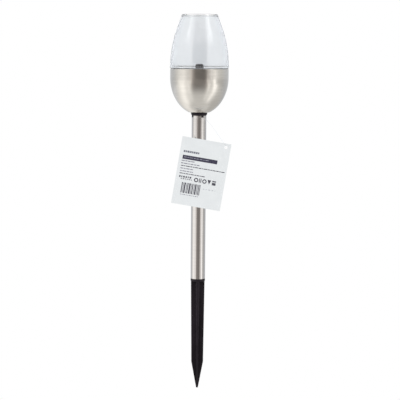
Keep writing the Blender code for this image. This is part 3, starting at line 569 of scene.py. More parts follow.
CUP_STEEL = brushed_steel("brushed_steel_cup", (0.685, 0.655, 0.605), 0.16, 0.22, 0.0000030, 0.65)
STEM_STEEL = brushed_steel("brushed_steel_tube", (0.675, 0.650, 0.630), 0.08, 0.12, 0.0000012, 0.45)


def metal(name, tint, rough, scratch=0.000002):
    """Plated or stamped metal with fine scratches in all directions."""
    m, g, shader, where = start(name)
    setting(shader, metallic=1.0)
    fine = g.noise(g.stretched(where, (5200, 700, 2600)), 1.0, 4.0, 0.65, 0.5)
    cloud = g.noise(where, 420.0, 3.0, 0.55)
    g.links.new(g.mix(g.span(cloud, 0.3, 0.7), colour(*(c * 0.86 for c in tint)), colour(*tint)),
                shader.inputs["Base Color"])
    g.links.new(g.math("ADD", g.span(cloud, 0.3, 0.7, rough - 0.06, rough + 0.08),
                       g.span(fine, 0.3, 0.7, -0.04, 0.04)), shader.inputs["Roughness"])
    bumped(g, shader, fine, scratch)
    return m


NICKEL = metal("nickel_plate", (0.66, 0.63, 0.56), 0.28)
SCREW_METAL = metal("screw_zinc", (0.62, 0.62, 0.60), 0.32)


def clear_plastic(name, tint, rough, ior=1.49, weight=0.94, wave=0.00002):
    """Clear moulded plastic: slight flow waves, and a polish that varies a little."""
    m, g, shader, where = start(name)
    setting(shader, transmission=weight, ior=ior)
    drift = g.noise(g.stretched(where, (160, 160, 40)), 1.0, 3.0, 0.5, 0.3)
    haze = g.noise(where, 260.0, 3.0, 0.6)
    g.links.new(g.mix(g.span(drift, 0.3, 0.7), colour(*(c * 0.985 for c in tint)), colour(*tint)),
                shader.inputs["Base Color"])
    g.links.new(g.span(haze, 0.3, 0.75, rough * 0.6, rough * 1.5), shader.inputs["Roughness"])
    bumped(g, shader, drift, wave)
    return m


CLEAR = clear_plastic("clear_shade_plastic", (0.945, 0.953, 0.955), 0.045, ior=1.68)
LENS = clear_plastic("lamp_epoxy", (0.93, 0.93, 0.86), 0.04, ior=1.5, wave=0.000004)
NYLON = clear_plastic("clear_nylon", (0.985, 0.99, 0.99), 0.05, ior=1.40, weight=0.98, wave=0.000004)


def card_material():
    """White coated card: paper fibre, faint mottling and a matt print surface."""
    m, g, shader, where = start("tag_card_stock")
    setting(shader, specular=0.35)
    fibre = g.noise(g.stretched(where, (1500, 1500, 420)), 1.0, 5.0, 0.65, 0.8)
    mottle = g.noise(where, 90.0, 4.0, 0.55)
    tone = g.mix(g.span(mottle, 0.3, 0.7), colour(0.775, 0.800, 0.812), colour(0.805, 0.830, 0.842))
    tone = g.mix(g.math("MULTIPLY", g.span(fibre, 0.55, 0.8), 0.35), tone, colour(0.73, 0.75, 0.76))
    g.links.new(tone, shader.inputs["Base Color"])
    g.links.new(g.span(fibre, 0.3, 0.7, 0.52, 0.66), shader.inputs["Roughness"])
    bumped(g, shader, fibre, 0.00001)
    return m


def ink(name, tone, fade=0.18):
    """Printed ink: dot texture and slightly uneven cover."""
    m, g, shader, where = start(name)
    setting(shader, specular=0.3)
    dots = g.add("ShaderNodeTexVoronoi", {"Vector": where, "Scale": 5200.0}).outputs["Distance"]
    cover = g.noise(where, 700.0, 3.0, 0.6)
    worn = g.math("MULTIPLY", g.span(g.math("ADD", dots, cover), 0.6, 1.3), fade)
    g.links.new(g.mix(worn, colour(*tone), colour(0.78, 0.80, 0.81)), shader.inputs["Base Color"])
    g.links.new(g.span(cover, 0.3, 0.7, 0.42, 0.56), shader.inputs["Roughness"])
    bumped(g, shader, dots, 0.000003)
    return m


CARD = card_material()
NAVY = ink("navy_ink", (0.016, 0.011, 0.046), 0.08)
SLATE = ink("slate_ink", (0.060, 0.060, 0.105), 0.18)
GREY = ink("grey_ink", (0.17, 0.16, 0.22), 0.2)
DARK_INK = ink("dark_ink", (0.026, 0.020, 0.044), 0.14)
PAPER_INK = ink("pale_ink", (0.34, 0.34, 0.42), 0.3)


def cell_material():
    """Silicon cells: dark blue, crystal grains, printed silver fingers, under clear resin."""
    m, g, shader, where = start("silicon_cell")
    setting(shader, specular=0.6, coat=1.0, coat_roughness=0.06)
    grains = g.add("ShaderNodeTexVoronoi", {"Vector": where, "Scale": 620.0, "Randomness": 1.0})
    grey = g.add("ShaderNodeSeparateColor", {"Color": grains.outputs["Color"]}).outputs["Red"]
    blue = g.mix(grey, colour(0.006, 0.010, 0.036), colour(0.014, 0.026, 0.085))
    parts = g.add("ShaderNodeSeparateXYZ", {"Vector": where}).outputs
    finger = g.math("PINGPONG", g.math("ADD", parts["Y"], 1.0), 0.0007)
    line = g.span(finger, 0.00004, 0.00009, 1.0, 0.0)
    tone = g.mix(g.math("MULTIPLY", line, 0.75), blue, colour(0.42, 0.43, 0.45))
    g.links.new(tone, shader.inputs["Base Color"])
    g.links.new(g.span(grey, 0.0, 1.0, 0.22, 0.38), shader.inputs["Roughness"])
    bumped(g, shader, line, 0.000006)
    return m


def panel_material():
    """The panel's backing board: pale laminate with a faint weave under clear resin."""
    m, g, shader, where = start("panel_backing")
    setting(shader, specular=0.5, coat=0.6, coat_roughness=0.12)
    cloud = g.noise(where, 180.0, 4.0, 0.6)
    weave = g.noise(where, 2200.0, 2.0, 0.5)
    g.links.new(g.mix(g.span(cloud, 0.3, 0.7), colour(0.78, 0.79, 0.79), colour(0.84, 0.85, 0.85)),
                shader.inputs["Base Color"])
    g.links.new(g.span(weave, 0.3, 0.7, 0.30, 0.42), shader.inputs["Roughness"])
    bumped(g, shader, cloud, 0.00001)
    return m


def board_material():
    """Circuit board: green solder mask over copper tracks, with tinned pads."""
    m, g, shader, where = start("circuit_board_mask")
    setting(shader, specular=0.5, coat=0.3, coat_roughness=0.15)
    tracks = g.add("ShaderNodeTexBrick", {"Vector": where, "Scale": 260.0, "Mortar Size": 0.035,
                                          "Brick Width": 0.9, "Row Height": 0.32,
                                          "Color1": colour(0.010, 0.105, 0.040),
                                          "Color2": colour(0.012, 0.130, 0.050),
                                          "Mortar": colour(0.020, 0.205, 0.075)})
    pads = g.add("ShaderNodeTexVoronoi", {"Vector": where, "Scale": 240.0, "Randomness": 0.35}
                 ).outputs["Distance"]
    pad = g.span(pads, 0.13, 0.17, 1.0, 0.0)
    g.links.new(g.mix(pad, tracks.outputs["Color"], colour(0.60, 0.59, 0.55)), shader.inputs["Base Color"])
    g.links.new(g.math("MULTIPLY", pad, 0.9), shader.inputs["Metallic"])
    g.links.new(g.span(pad, 0.0, 1.0, 0.40, 0.28), shader.inputs["Roughness"])
    bumped(g, shader, g.math("ADD", pad, tracks.outputs["Fac"]), 0.00003)
    return m


def sleeve_material():
    """The cell's shrink sleeve: two plain colours, bare metal at its ends, small wrinkles."""
    m, g, shader, where = start("cell_sleeve")
    setting(shader, specular=0.5, coat=0.25, coat_roughness=0.12)
    parts = g.add("ShaderNodeSeparateXYZ", {"Vector": where}).outputs
    tone = g.mix(g.span(parts["X"], 0.0062, 0.0066), colour(0.018, 0.150, 0.070), colour(0.62, 0.63, 0.62))
    tone = g.mix(g.span(parts["X"], 0.0136, 0.0138), tone, colour(0.60, 0.58, 0.53))
    tone = g.mix(g.span(parts["X"], -0.0147, -0.0149), tone, colour(0.60, 0.58, 0.53))
    bare = g.math("MAXIMUM", g.span(parts["X"], 0.0136, 0.0138), g.span(parts["X"], -0.0147, -0.0149))
    wrinkle = g.noise(g.stretched(where, (180, 900, 900)), 1.0, 4.0, 0.6)
    g.links.new(tone, shader.inputs["Base Color"])
    g.links.new(bare, shader.inputs["Metallic"])
    g.links.new(g.span(wrinkle, 0.3, 0.7, 0.26, 0.38), shader.inputs["Roughness"])
    bumped(g, shader, wrinkle, 0.00003)
    return m


def choke_material():
    """The choke: copper turns between two ferrite ends."""
    m, g, shader, where = start("choke_winding")
    parts = g.add("ShaderNodeSeparateXYZ", {"Vector": where}).outputs
    turns = g.math("PINGPONG", g.math("ADD", parts["X"], 1.0), 0.00012)
    middle = g.math("MULTIPLY", g.span(parts["X"], 0.0030, 0.0031), g.span(parts["X"], 0.0070, 0.0069))
    copper = g.mix(g.span(turns, 0.0, 0.00012), colour(0.25, 0.09, 0.035), colour(0.72, 0.33, 0.15))
    g.links.new(g.mix(middle, colour(0.030, 0.030, 0.032), copper), shader.inputs["Base Color"])
    g.links.new(g.math("MULTIPLY", middle, 0.85), shader.inputs["Metallic"])
    g.links.new(g.span(middle, 0.0, 1.0, 0.62, 0.30), shader.inputs["Roughness"])
    bumped(g, shader, g.math("MULTIPLY", turns, middle), 0.4)
    return m


def phosphor_material():
    """The lamp's emitter: a matt yellow coating, uneven at its rim."""
    m, g, shader, where = start("emitter_phosphor")
    blot = g.noise(where, 1500.0, 3.0, 0.6)
    g.links.new(g.mix(g.span(blot, 0.3, 0.7), colour(0.78, 0.58, 0.10), colour(0.86, 0.70, 0.20)),
                shader.inputs["Base Color"])
    g.links.new(g.span(blot, 0.3, 0.7, 0.5, 0.7), shader.inputs["Roughness"])
    bumped(g, shader, blot, 0.00002)
    return m


CELL, PANEL, BOARD = cell_material(), panel_material(), board_material()
SLEEVE, CHOKE, PHOSPHOR = sleeve_material(), choke_material(), phosphor_material()

# ================================================================== clear shade
SHADE_TOP, SHADE_WALL, SHADE_TOP_T = 255.3, 1.6, 1.8
STATIONS = ((206.6, 27.9), (212.5, 27.7), (221.0, 26.85), (229.3, 25.4), (237.7, 23.2), (246.0, 20.3),
            (254.6, 17.15))


def wall_radius(z):
    """Outer radius of the shade's wall in mm at a height in mm."""
    zs = [s[0] for s in STATIONS]
    rs = [s[1] for s in STATIONS]
    slopes = []
    for k in range(len(zs)):
        a, b = max(k - 1, 0), min(k + 1, len(zs) - 1)
        slopes.append((rs[b] - rs[a]) / (zs[b] - zs[a]))
    for k in range(len(zs) - 1):
        if z <= zs[k + 1] or k == len(zs) - 2:
            h = zs[k + 1] - zs[k]
            t = (z - zs[k]) / h
            return ((2 * t ** 3 - 3 * t ** 2 + 1) * rs[k] + (t ** 3 - 2 * t ** 2 + t) * h * slopes[k]
                    + (-2 * t ** 3 + 3 * t ** 2) * rs[k + 1] + (t ** 3 - t ** 2) * h * slopes[k + 1])


def shade_mesh():
    """The shade as one closed shell. Its inner wall has fine upright flutes that fade out near the foot."""
    flutes, per = 84, 6
    steps = flutes * per
    rows = []                                              # (radius, height, flute depth)
    top = [(0.0, SHADE_TOP - 0.12), (0.9, SHADE_TOP - 0.12), (1.25, SHADE_TOP), (4.0, SHADE_TOP),
           (9.0, SHADE_TOP), (13.0, SHADE_TOP)]
    corner = eased([(13.0, SHADE_TOP), (wall_radius(SHADE_TOP - 0.4) + 0.02, SHADE_TOP, 0.25),
                    (wall_radius(252.5), 252.5)], False, 6)[1:-1]
    rows += [(r, z, 0.0) for r, z in top + corner]
    count = 34
    for i in range(count + 1):
        z = 253.6 + (206.9 - 253.6) * i / count
        rows.append((wall_radius(z), z, 0.0))
    foot = eased([(27.9, 206.9), (27.92, 206.62, 0.1), (28.05, 206.55, 0.08), (28.05, 205.0, 0.22),
                  (26.2, 205.0, 0.15), (26.2, 196.8, 0.3), (24.9, 196.8, 0.3), (24.9, 206.4, 0.12),
                  (wall_radius(206.9) - SHADE_WALL, 206.45, 0.12), (wall_radius(210.0) - SHADE_WALL, 210.0)],
                 False, 4)[1:-1]
    rows += [(r, z, 0.0) for r, z in foot]
    inner_top = SHADE_TOP - SHADE_TOP_T
    count = 30
    for i in range(count + 1):
        z = 210.0 + (inner_top - 1.4 - 210.0) * i / count
        rise = min(1.0, max(0.0, (z - 211.0) / 5.0))
        fall = min(1.0, max(0.0, (inner_top - 1.4 - z) / 3.0))
        rows.append((wall_radius(z) - SHADE_WALL, z, 0.006 * rise * rise * (3 - 2 * rise) * fall))
    last = wall_radius(inner_top - 1.4) - SHADE_WALL
    inner_corner = eased([(last, inner_top - 1.4), (last - 0.5, inner_top, 1.0), (11.0, inner_top)],
                         False, 5)[1:-1]
    rows += [(r, z, 0.0) for r, z in inner_corner]
    rows += [(11.0, inner_top, 0.0), (5.0, inner_top, 0.0), (0.0, inner_top, 0.0)]
    verts, rings, faces = [], [], []
    for r, z, depth in rows:
        if r == 0.0:
            rings.append([len(verts)])
            verts.append((0.0, 0.0, z * 0.001))
            continue
        rings.append(list(range(len(verts), len(verts) + steps)))
        for k in range(steps):
            a = 2 * math.pi * k / steps
            here = r + depth * (0.5 - 0.5 * math.cos(flutes * a))
            verts.append((here * math.cos(a) * 0.001, here * math.sin(a) * 0.001, z * 0.001))
    for a, b in zip(rings, rings[1:]):
        for k in range(steps):
            n = (k + 1) % steps
            if len(a) == 1:
                faces.append((a[0], b[k], b[n]))
            elif len(b) == 1:
                faces.append((a[k], b[0], a[n]))
            else:
                faces.append((a[k], b[k], b[n], a[n]))
    mesh = bpy.data.meshes.new("clear_shade")
    mesh.from_pydata(verts, [], faces)
    return mesh


shade = finish_mesh("clear_shade", shade_mesh(), 38.0)
piece(shade, CLEAR, "lamp_top", ["shade"])

# ================================================================== steel cup
CUP_R, CUP_WALL, RIM_Z, SIDE_Z, DEPTH = 27.85, 0.5, 204.0, 195.9, 35.4
FLAT_Z, FLAT_R, HOLE_R = 162.9, 10.1, 3.3
last = math.acos(FLAT_R / CUP_R)
down = [(CUP_R * math.cos(last * i / 44), SIDE_Z - DEPTH * math.sin(last * i / 44)) for i in range(1, 45)]
inner_r, inner_depth = CUP_R - CUP_WALL, DEPTH - CUP_WALL
last = math.acos((FLAT_R - 0.2) / inner_r)
up_again = [(inner_r * math.cos(last * i / 36), SIDE_Z - inner_depth * math.sin(last * i / 36))
            for i in range(36, 0, -1)]
cup_outline = ([(CUP_R - 0.5, RIM_Z, 0.2), (CUP_R, RIM_Z, 0.62), (CUP_R, 203.0), (CUP_R, 201.0),
                (CUP_R, 199.0), (CUP_R, SIDE_Z)] + down
               + [(FLAT_R - 0.7, FLAT_Z, 0.3), (5.0, FLAT_Z), (HOLE_R, FLAT_Z, 0.1),
                  (HOLE_R, FLAT_Z + CUP_WALL, 0.1), (5.0, FLAT_Z + CUP_WALL), (FLAT_R - 0.9, FLAT_Z + CUP_WALL)]
               + up_again + [(inner_r, SIDE_Z), (inner_r, 201.6), (inner_r, 202.5, 0.25), (26.6, 202.6, 0.25),
                             (26.6, RIM_Z, 0.45)])
cup = lathe("steel_cup_shell", cup_outline, closed=True, steps=224, corner=5, angle=40)
piece(cup, CUP_STEEL, "head", ["steel_cup"])

# ================================================================== stem tube
STEM_R, STEM_WALL, STEM_BOTTOM, STEM_TOP, NOTCH = 7.0, 0.45, 2.3, 159.9, 1.9
NOTCH_HALF, LUG_ANGLE = 1.25, 28.0


def stem_mesh():
    """The rolled tube with four open notches in its top edge and a small chamfer at both ends."""
    half = math.degrees(math.asin(NOTCH_HALF / STEM_R))
    angles, cut = [], []
    for q in range(4):
        centre = LUG_ANGLE + 90 * q
        inside = 6
        for i in range(inside):
            angles.append(centre - half + 2 * half * i / inside)
            cut.append(True)
        between = 30
        for i in range(between):
            angles.append(centre + half + (90 - 2 * half) * i / between)
            cut.append(False)
    n = len(angles)
    heights = ([STEM_BOTTOM, STEM_BOTTOM + 0.12, STEM_BOTTOM + 1.0]
               + [STEM_BOTTOM + 1.0 + (STEM_TOP - NOTCH - 2.0 - STEM_BOTTOM) * i / 24 for i in range(1, 24)]
               + [STEM_TOP - NOTCH, STEM_TOP - 0.12, STEM_TOP])
    edge = len(heights) - 3
    easing = {0: 0.1, len(heights) - 1: 0.1}
    found, verts, faces = {}, [], []

    def at(i, j, side):
        key = (i % n, j, side)
        if key not in found:
            r = STEM_R - easing.get(j, 0.0) if side == 0 else STEM_R - STEM_WALL + easing.get(j, 0.0)
            a = math.radians(angles[i % n])
            found[key] = len(verts)
            verts.append((r * math.cos(a) * 0.001, r * math.sin(a) * 0.001, heights[j] * 0.001))
        return found[key]

    for i in range(n):
        for j in range(len(heights) - 1):
            if cut[i] and j >= edge:
                continue
            faces.append((at(i, j, 0), at(i + 1, j, 0), at(i + 1, j + 1, 0), at(i, j + 1, 0)))
            faces.append((at(i, j, 1), at(i, j + 1, 1), at(i + 1, j + 1, 1), at(i + 1, j, 1)))
        faces.append((at(i, 0, 0), at(i, 0, 1), at(i + 1, 0, 1), at(i + 1, 0, 0)))
        top = edge if cut[i] else len(heights) - 1
        faces.append((at(i, top, 0), at(i + 1, top, 0), at(i + 1, top, 1), at(i, top, 1)))
        if cut[i] != cut[i - 1]:
            for j in range(edge, len(heights) - 1):
                faces.append((at(i, j, 0), at(i, j + 1, 0), at(i, j + 1, 1), at(i, j, 1)))
    mesh = bpy.data.meshes.new("stem_tube_shell")
    mesh.from_pydata(verts, [], faces)
    return mesh


stem = finish_mesh("stem_tube_shell", stem_mesh(), 35.0)
piece(stem, STEM_STEEL, "stem", ["stem_tube"])

# ================================================================== neck collar
collar_base = lathe_mesh("neck", eased([
    (0, 150.5), (1.7, 150.5), (1.7, 162.6, 0.15), (7.95, 162.6, 0.35), (7.4, 160.2, 0.25),
    (6.25, 160.2, 0.1), (6.25, 142.4), (5.55, 141.2, 0.3), (0, 141.2)], False, 4), False, 128)
lugs = []
for i in range(4):
    lug = box_mesh("lug", 3.0, 7.35, -1.1, 1.1, 158.3, 160.7, 0.22, 2)
    lug.transform(Matrix.Rotation(math.radians(LUG_ANGLE + 90 * i), 4, "Z"))
    lugs.append(("UNION", lug))
collar = combined("neck_collar_moulding", collar_base, lugs)
piece(collar, BLACK, "head", ["neck_collar"])

# ================================================================== ground spike
spike_base = lathe_mesh("spike", eased([
    (0, 20.0), (5.4, 20.0), (6.2, 18.8, 0.4), (6.2, 2.0, 0.1), (7.0, 2.0, 0.25), (7.0, 0.0, 0.25),
    (0, 0.0)], False, 4), False, 96)
SHOULDER, TIP = -79.7, -106.0
fin_outline = [(6.6, 1.0), (6.6, -1.0), (6.35, -24.0), (6.05, -52.0), (5.75, SHOULDER),
               (5.6, SHOULDER - 1.1), (5.35, SHOULDER - 2.2), (3.1, -94.0), (0.85, TIP)]


def fin_mesh(turned):
    """One pair of fins, 2 mm thick, with rounded edges."""
    loop = [(x, z) for x, z in fin_outline] + [(-x, z) for x, z in reversed(fin_outline)]
    bm = bmesh.new()
    front = [bm.verts.new((x * 0.001, -0.001, z * 0.001)) for x, z in loop]
    back = [bm.verts.new((x * 0.001, 0.001, z * 0.001)) for x, z in loop]
    bm.faces.new(front)
    bm.faces.new(list(reversed(back)))
    for i in range(len(loop)):
        n = (i + 1) % len(loop)
        bm.faces.new((front[i], back[i], back[n], front[n]))
    bmesh.ops.recalc_face_normals(bm, faces=bm.faces)
    rims = [e for e in bm.edges if abs(e.verts[0].co.y - e.verts[1].co.y) < 1e-9]
    bmesh.ops.bevel(bm, geom=rims, offset=0.00032, segments=3, profile=0.5, affect="EDGES",
                    clamp_overlap=True)
    mesh = bpy.data.meshes.new("fin")
    bm.to_mesh(mesh)
    bm.free()
    mesh.transform(Matrix.Rotation(turned, 4, "Z"))
    return mesh


core = lathe_mesh("core", [(0, 1.2), (2.4, 1.2), (0.9, TIP + 2.0), (0, TIP + 2.0)], False, 48)
spike = combined("ground_spike_moulding", spike_base, [
    ("UNION", fin_mesh(0.0)), ("UNION", fin_mesh(math.pi / 2)), ("UNION", core)])
piece(spike, BLACK, "stake", ["ground_spike"])

# ================================================================== seal, tray, panel, bezel, lamp
seal = lathe("rain_seal", [(27.4, 204.7, 0.14), (27.4, 204.3, 0.14), (26.5, 204.3, 0.14),
                           (26.5, 204.7, 0.14)], closed=True, steps=160)
piece(seal, RUBBER, "lamp_top", ["seal_ring"])

corners = [(sx * 9.5, sy * 18.2) for sx in (-1, 1) for sy in (-1, 1)]
tray_base = lathe_mesh("tray", eased([
    (24.5, 202.7, 0.5), (24.5, 196.5, 0.3), (26.2, 196.5, 0.25), (26.2, 194.9, 0.25), (23.1, 194.9, 0.2),
    (23.1, 201.1, 0.5), (3.2, 201.1, 0.1), (3.2, 202.7, 0.15)], True, 4), True, 160)
tray_tools = [("UNION", upright_mesh("boss", 3.0, 195.1, 202.1, x, y, 40, 0.15)) for x, y in corners]
tray_tools += [("DIFFERENCE", upright_mesh("boss_hole", 1.1, 193.8, 200.8, x, y, 28)) for x, y in corners]
tray_tools += [("DIFFERENCE", upright_mesh("wire_hole", 1.0, 200.1, 203.8, -11.0, s * 3.2, 28))
               for s in (-1, 1)]
tray = combined("tray_moulding", tray_base, tray_tools)
piece(tray, WHITE, "lamp_top", ["tray"])

panel = lathe("solar_panel_board", [(24.4, 203.7, 0.2), (24.4, 203.0, 0.1), (4.3, 203.0, 0.1),
                                    (4.3, 203.7, 0.1)], closed=True, steps=192)
piece(panel, PANEL, "lamp_top", ["solar_panel"])


def cells_mesh():
    """Six silicon strips under their resin, cut to the panel's ring, 0.14 mm proud of its board."""
    outer, inner, pitch, gap = 23.9, 4.9, 7.8, 0.30
    bm = bmesh.new()

    def prism(loop):
        low = [bm.verts.new((x * 0.001, y * 0.001, 203.64 * 0.001)) for x, y in loop]
        high = [bm.verts.new((x * 0.001, y * 0.001, 203.84 * 0.001)) for x, y in loop]
        bm.faces.new(high)
        bm.faces.new(list(reversed(low)))
        for i in range(len(loop)):
            n = (i + 1) % len(loop)
            bm.faces.new((low[i], low[n], high[n], high[i]))

    def arc(radius, a0, a1, count):
        return [(radius * math.cos(a0 + (a1 - a0) * i / count), radius * math.sin(a0 + (a1 - a0) * i / count))
                for i in range(count + 1)]

    for side in (-1, 1):
        for strip in range(3):
            x0, x1 = strip * pitch + gap / 2, min((strip + 1) * pitch - gap / 2, outer - 0.35)
            top0, top1 = math.acos(x0 / outer), math.acos(x1 / outer)
            loop = arc(outer, top1, top0, 18)
            if strip == 0:
                hole = math.acos(x0 / inner)
                loop += arc(inner, hole, -hole, 24)
            loop += arc(outer, -top0, -top1, 18)
            prism([(side * x, y) for x, y in (loop if side > 0 else list(reversed(loop)))])
    bmesh.ops.recalc_face_normals(bm, faces=bm.faces)
    mesh = bpy.data.meshes.new("solar_cells")
    bm.to_mesh(mesh)
    bm.free()
    return mesh


def ribbons_mesh():
    """The thin tinned ribbons that join one strip to the next."""
    bm = bmesh.new()
    for side in (-1, 1):
        for x in (7.8, 15.6):
            for y in (-6.5, 6.5) if x < 10 else (-4.5, 4.5):
                for v in bmesh.ops.create_cube(bm, size=1.0)["verts"]:
                    v.co = Vector(((side * x + v.co.x * 3.4) * 0.001, (y + v.co.y * 0.8) * 0.001,
                                   (203.85 + v.co.z * 0.05) * 0.001))
    for y in (-9.0, 9.0):
        for v in bmesh.ops.create_cube(bm, size=1.0)["verts"]:
            v.co = Vector((v.co.x * 3.4 * 0.001, (y + v.co.y * 0.8) * 0.001, (203.85 + v.co.z * 0.05) * 0.001))
    mesh = bpy.data.meshes.new("cell_ribbons")
    bm.to_mesh(mesh)
    bm.free()
    return mesh


piece(finish_mesh("solar_cells", cells_mesh(), 30.0, weighted=False), CELL, "lamp_top")
piece(finish_mesh("cell_ribbons", ribbons_mesh(), 30.0, weighted=False), NICKEL, "lamp_top")

bezel = lathe("lamp_holder", [(3.0, 208.75, 0.15), (3.55, 208.0, 0.6), (3.9, 206.8, 0.5), (3.9, 204.6, 0.3), (3.9, 203.0, 0.1), (2.8, 203.0, 0.1),
                              (2.8, 208.2, 0.2)], closed=True, steps=96)
piece(bezel, BLACK, "lamp_top", ["led_bezel"])
dome = [(2.5 * math.sin(math.radians(a)), 206.4 + 2.5 * math.cos(math.radians(a))) for a in range(0, 91, 6)]
lamp = lathe("lamp_lens", dome + [(2.5, 203.0), (2.5, 201.3, 0.1), (2.9, 201.3, 0.15), (2.9, 200.3, 0.2),
                                  (0, 200.3)], steps=72)
piece(lamp, LENS, "lamp_top", ["led_lamp"])
emitter = lathe("lamp_emitter", [(0, 205.0), (0.5, 204.95), (1.05, 204.7, 0.15), (1.25, 203.5, 0.1),
                                 (0.7, 202.5, 0.1), (0, 202.5)], steps=48)
piece(emitter, PHOSPHOR, "lamp_top")

# ================================================================== lower housing and battery cover
plate = upright_mesh("housing", 26.0, 193.1, 194.6, 0, 0, 160, 0.3)
housing_tools = [("UNION", box_mesh("housing_box", -21, 21, -12.5, 12.5, 182.2, 194.1, 2.2, 6))]
for y0, y1 in ((-3 - 7.1 - 1.1, -3 - 7.1), (-3 + 7.1, -3 + 7.1 + 1.1)):
    housing_tools.append(("UNION", box_mesh("rail_leg", -17, 17, y0, y1, 179.5, 182.8, 0.15, 2)))
for y0, y1 in ((-3 - 7.1 - 0.9, -3 - 7.1 + 1.2), (-3 + 7.1 - 1.2, -3 + 7.1 + 0.9)):
    housing_tools.append(("UNION", box_mesh("rail_lip", -16.8, 16.8, y0, y1, 179.3, 180.4, 0.12, 2)))
housing_tools.append(("DIFFERENCE", box_mesh("room", -19.6, 19.6, -11.1, 11.1, 183.6, 196.6)))
housing_tools.append(("DIFFERENCE", box_mesh("hatch", -15.8, 15.8, -8.4, 2.4, 181.2, 184.6)))
housing_tools.append(("DIFFERENCE", box_mesh("slot", -8.4, -3.6, 7.1, 9.5, 181.2, 184.6)))
housing_tools += [("DIFFERENCE", upright_mesh("plate_hole", 1.1, 192.1, 195.6, x, y, 28)) for x, y in corners]
housing = combined("lower_housing_moulding", plate, housing_tools)
piece(housing, HOUSING, "lamp_top", ["lower_housing"])

cover_tools = [("UNION", box_mesh("grip", 8.0 + 2 * i, 9.0 + 2 * i, -6.5, 0.5, 180.0, 181.1, 0.2, 3))
               for i in range(4)]
cover = combined("battery_cover_moulding", box_mesh("cover", -17, 17, -9.8, 3.8, 180.7, 181.9, 0.25, 3),
                 cover_tools)
piece(cover, HOUSING, "battery_door", ["battery_cover"])

for i, (x, y) in enumerate(corners):
    screw_base = lathe_mesh("screw", eased([
        (0, 199.7), (0.4, 199.7), (0.8, 198.7), (0.8, 192.8), (1.8, 192.8, 0.12), (1.8, 191.8, 0.25),
        (1.4, 191.3, 0.2), (0, 191.3)], False, 4), False, 40)
    screw_base.transform(Matrix.Translation((x * 0.001, y * 0.001, 0)))
    screw = combined(f"plate_screw_{i + 1}", screw_base, [
        ("DIFFERENCE", box_mesh("drive_a", x - 1.0, x + 1.0, y - 0.22, y + 0.22, 189.8, 192.0)),
    ])
    piece(screw, SCREW_METAL, "lamp_top", [f"housing_screw_{i + 1}"])

# ================================================================== swing tag
TAG_W, TAG_H, TAG_T, TILT = 47.2, 64.8, 0.4, math.radians(9.4)
HOLE = (25.8, -8.0, 130.1)
LEFT, HIGH = -18.9 - TAG_W / 2, -28.8 + TAG_H / 2


def on_card(u, v, out=0.0):
    """The point in metres on the card's front at u mm from its left edge and v mm from its top, out mm proud of it."""
    s, t = (u - TAG_W / 2) / (TAG_W / 2), v / TAG_H
    curl = 0.75 * s * s + 0.55 * t * t * (0.5 + 0.5 * s) + 0.35 * (1 - t) ** 2 * (0.5 - 0.5 * s)
    x, y = LEFT + u, HIGH - v
    return Vector(((HOLE[0] + x * math.cos(TILT) + y * math.sin(TILT)) * 0.001,
                   (HOLE[1] - 0.2 - out - curl) * 0.001,
                   (HOLE[2] - x * math.sin(TILT) + y * math.cos(TILT)) * 0.001))


def card_patch(bm, u0, u1, v0, v1, low, high, step=3.0):
    """A closed slab that follows the card's curve, from low to high mm in front of its face."""
    nu, nv = max(1, math.ceil((u1 - u0) / step)), max(1, math.ceil((v1 - v0) / step))
    grid = []
    for out in (low, high):
        grid.append([[bm.verts.new(on_card(u0 + (u1 - u0) * i / nu, v0 + (v1 - v0) * j / nv, out))
                      for j in range(nv + 1)] for i in range(nu + 1)])
    back, front = grid
    for i in range(nu):
        for j in range(nv):
            bm.faces.new((front[i][j], front[i][j + 1], front[i + 1][j + 1], front[i + 1][j]))
            bm.faces.new((back[i][j], back[i + 1][j], back[i + 1][j + 1], back[i][j + 1]))
    for i in range(nu):
        bm.faces.new((front[i][0], front[i + 1][0], back[i + 1][0], back[i][0]))
        bm.faces.new((front[i][nv], back[i][nv], back[i + 1][nv], front[i + 1][nv]))
    for j in range(nv):
        bm.faces.new((front[0][j], back[0][j], back[0][j + 1], front[0][j + 1]))
        bm.faces.new((front[nu][j], front[nu][j + 1], back[nu][j + 1], back[nu][j]))


def card_shape(bm, loop, low=-0.02, high=0.035):
    """A closed flat shape on the card from (u, v) corners."""
    back = [bm.verts.new(on_card(u, v, low)) for u, v in loop]
    front = [bm.verts.new(on_card(u, v, high)) for u, v in loop]
    bm.faces.new(front)
    bm.faces.new(list(reversed(back)))
    for i in range(len(loop)):
        n = (i + 1) % len(loop)
        bm.faces.new((front[i], back[i], back[n], front[n]))


def card_ring(bm, u, v, outer, inner, count=28, low=-0.02, high=0.035):
    rows = []
    for r in (outer, inner):
        for out in (low, high):
            rows.append([bm.verts.new(on_card(u + r * math.cos(2 * math.pi * k / count),
                                              v + r * math.sin(2 * math.pi * k / count), out))
                         for k in range(count)])
    o_low, o_high, i_low, i_high = rows
    for k in range(count):
        n = (k + 1) % count
        bm.faces.new((o_high[k], o_high[n], i_high[n], i_high[k]))
        bm.faces.new((o_low[k], i_low[k], i_low[n], o_low[n]))
        bm.faces.new((o_low[k], o_low[n], o_high[n], o_high[k]))
        bm.faces.new((i_low[k], i_high[k], i_high[n], i_low[n]))


def printed(name, build, material):
    bm = bmesh.new()
    build(bm)
    mesh = bpy.data.meshes.new(name)
    bm.to_mesh(mesh)
    bm.free()
    return piece(finish_mesh(name, mesh, 30.0, weighted=False), material, "tag")


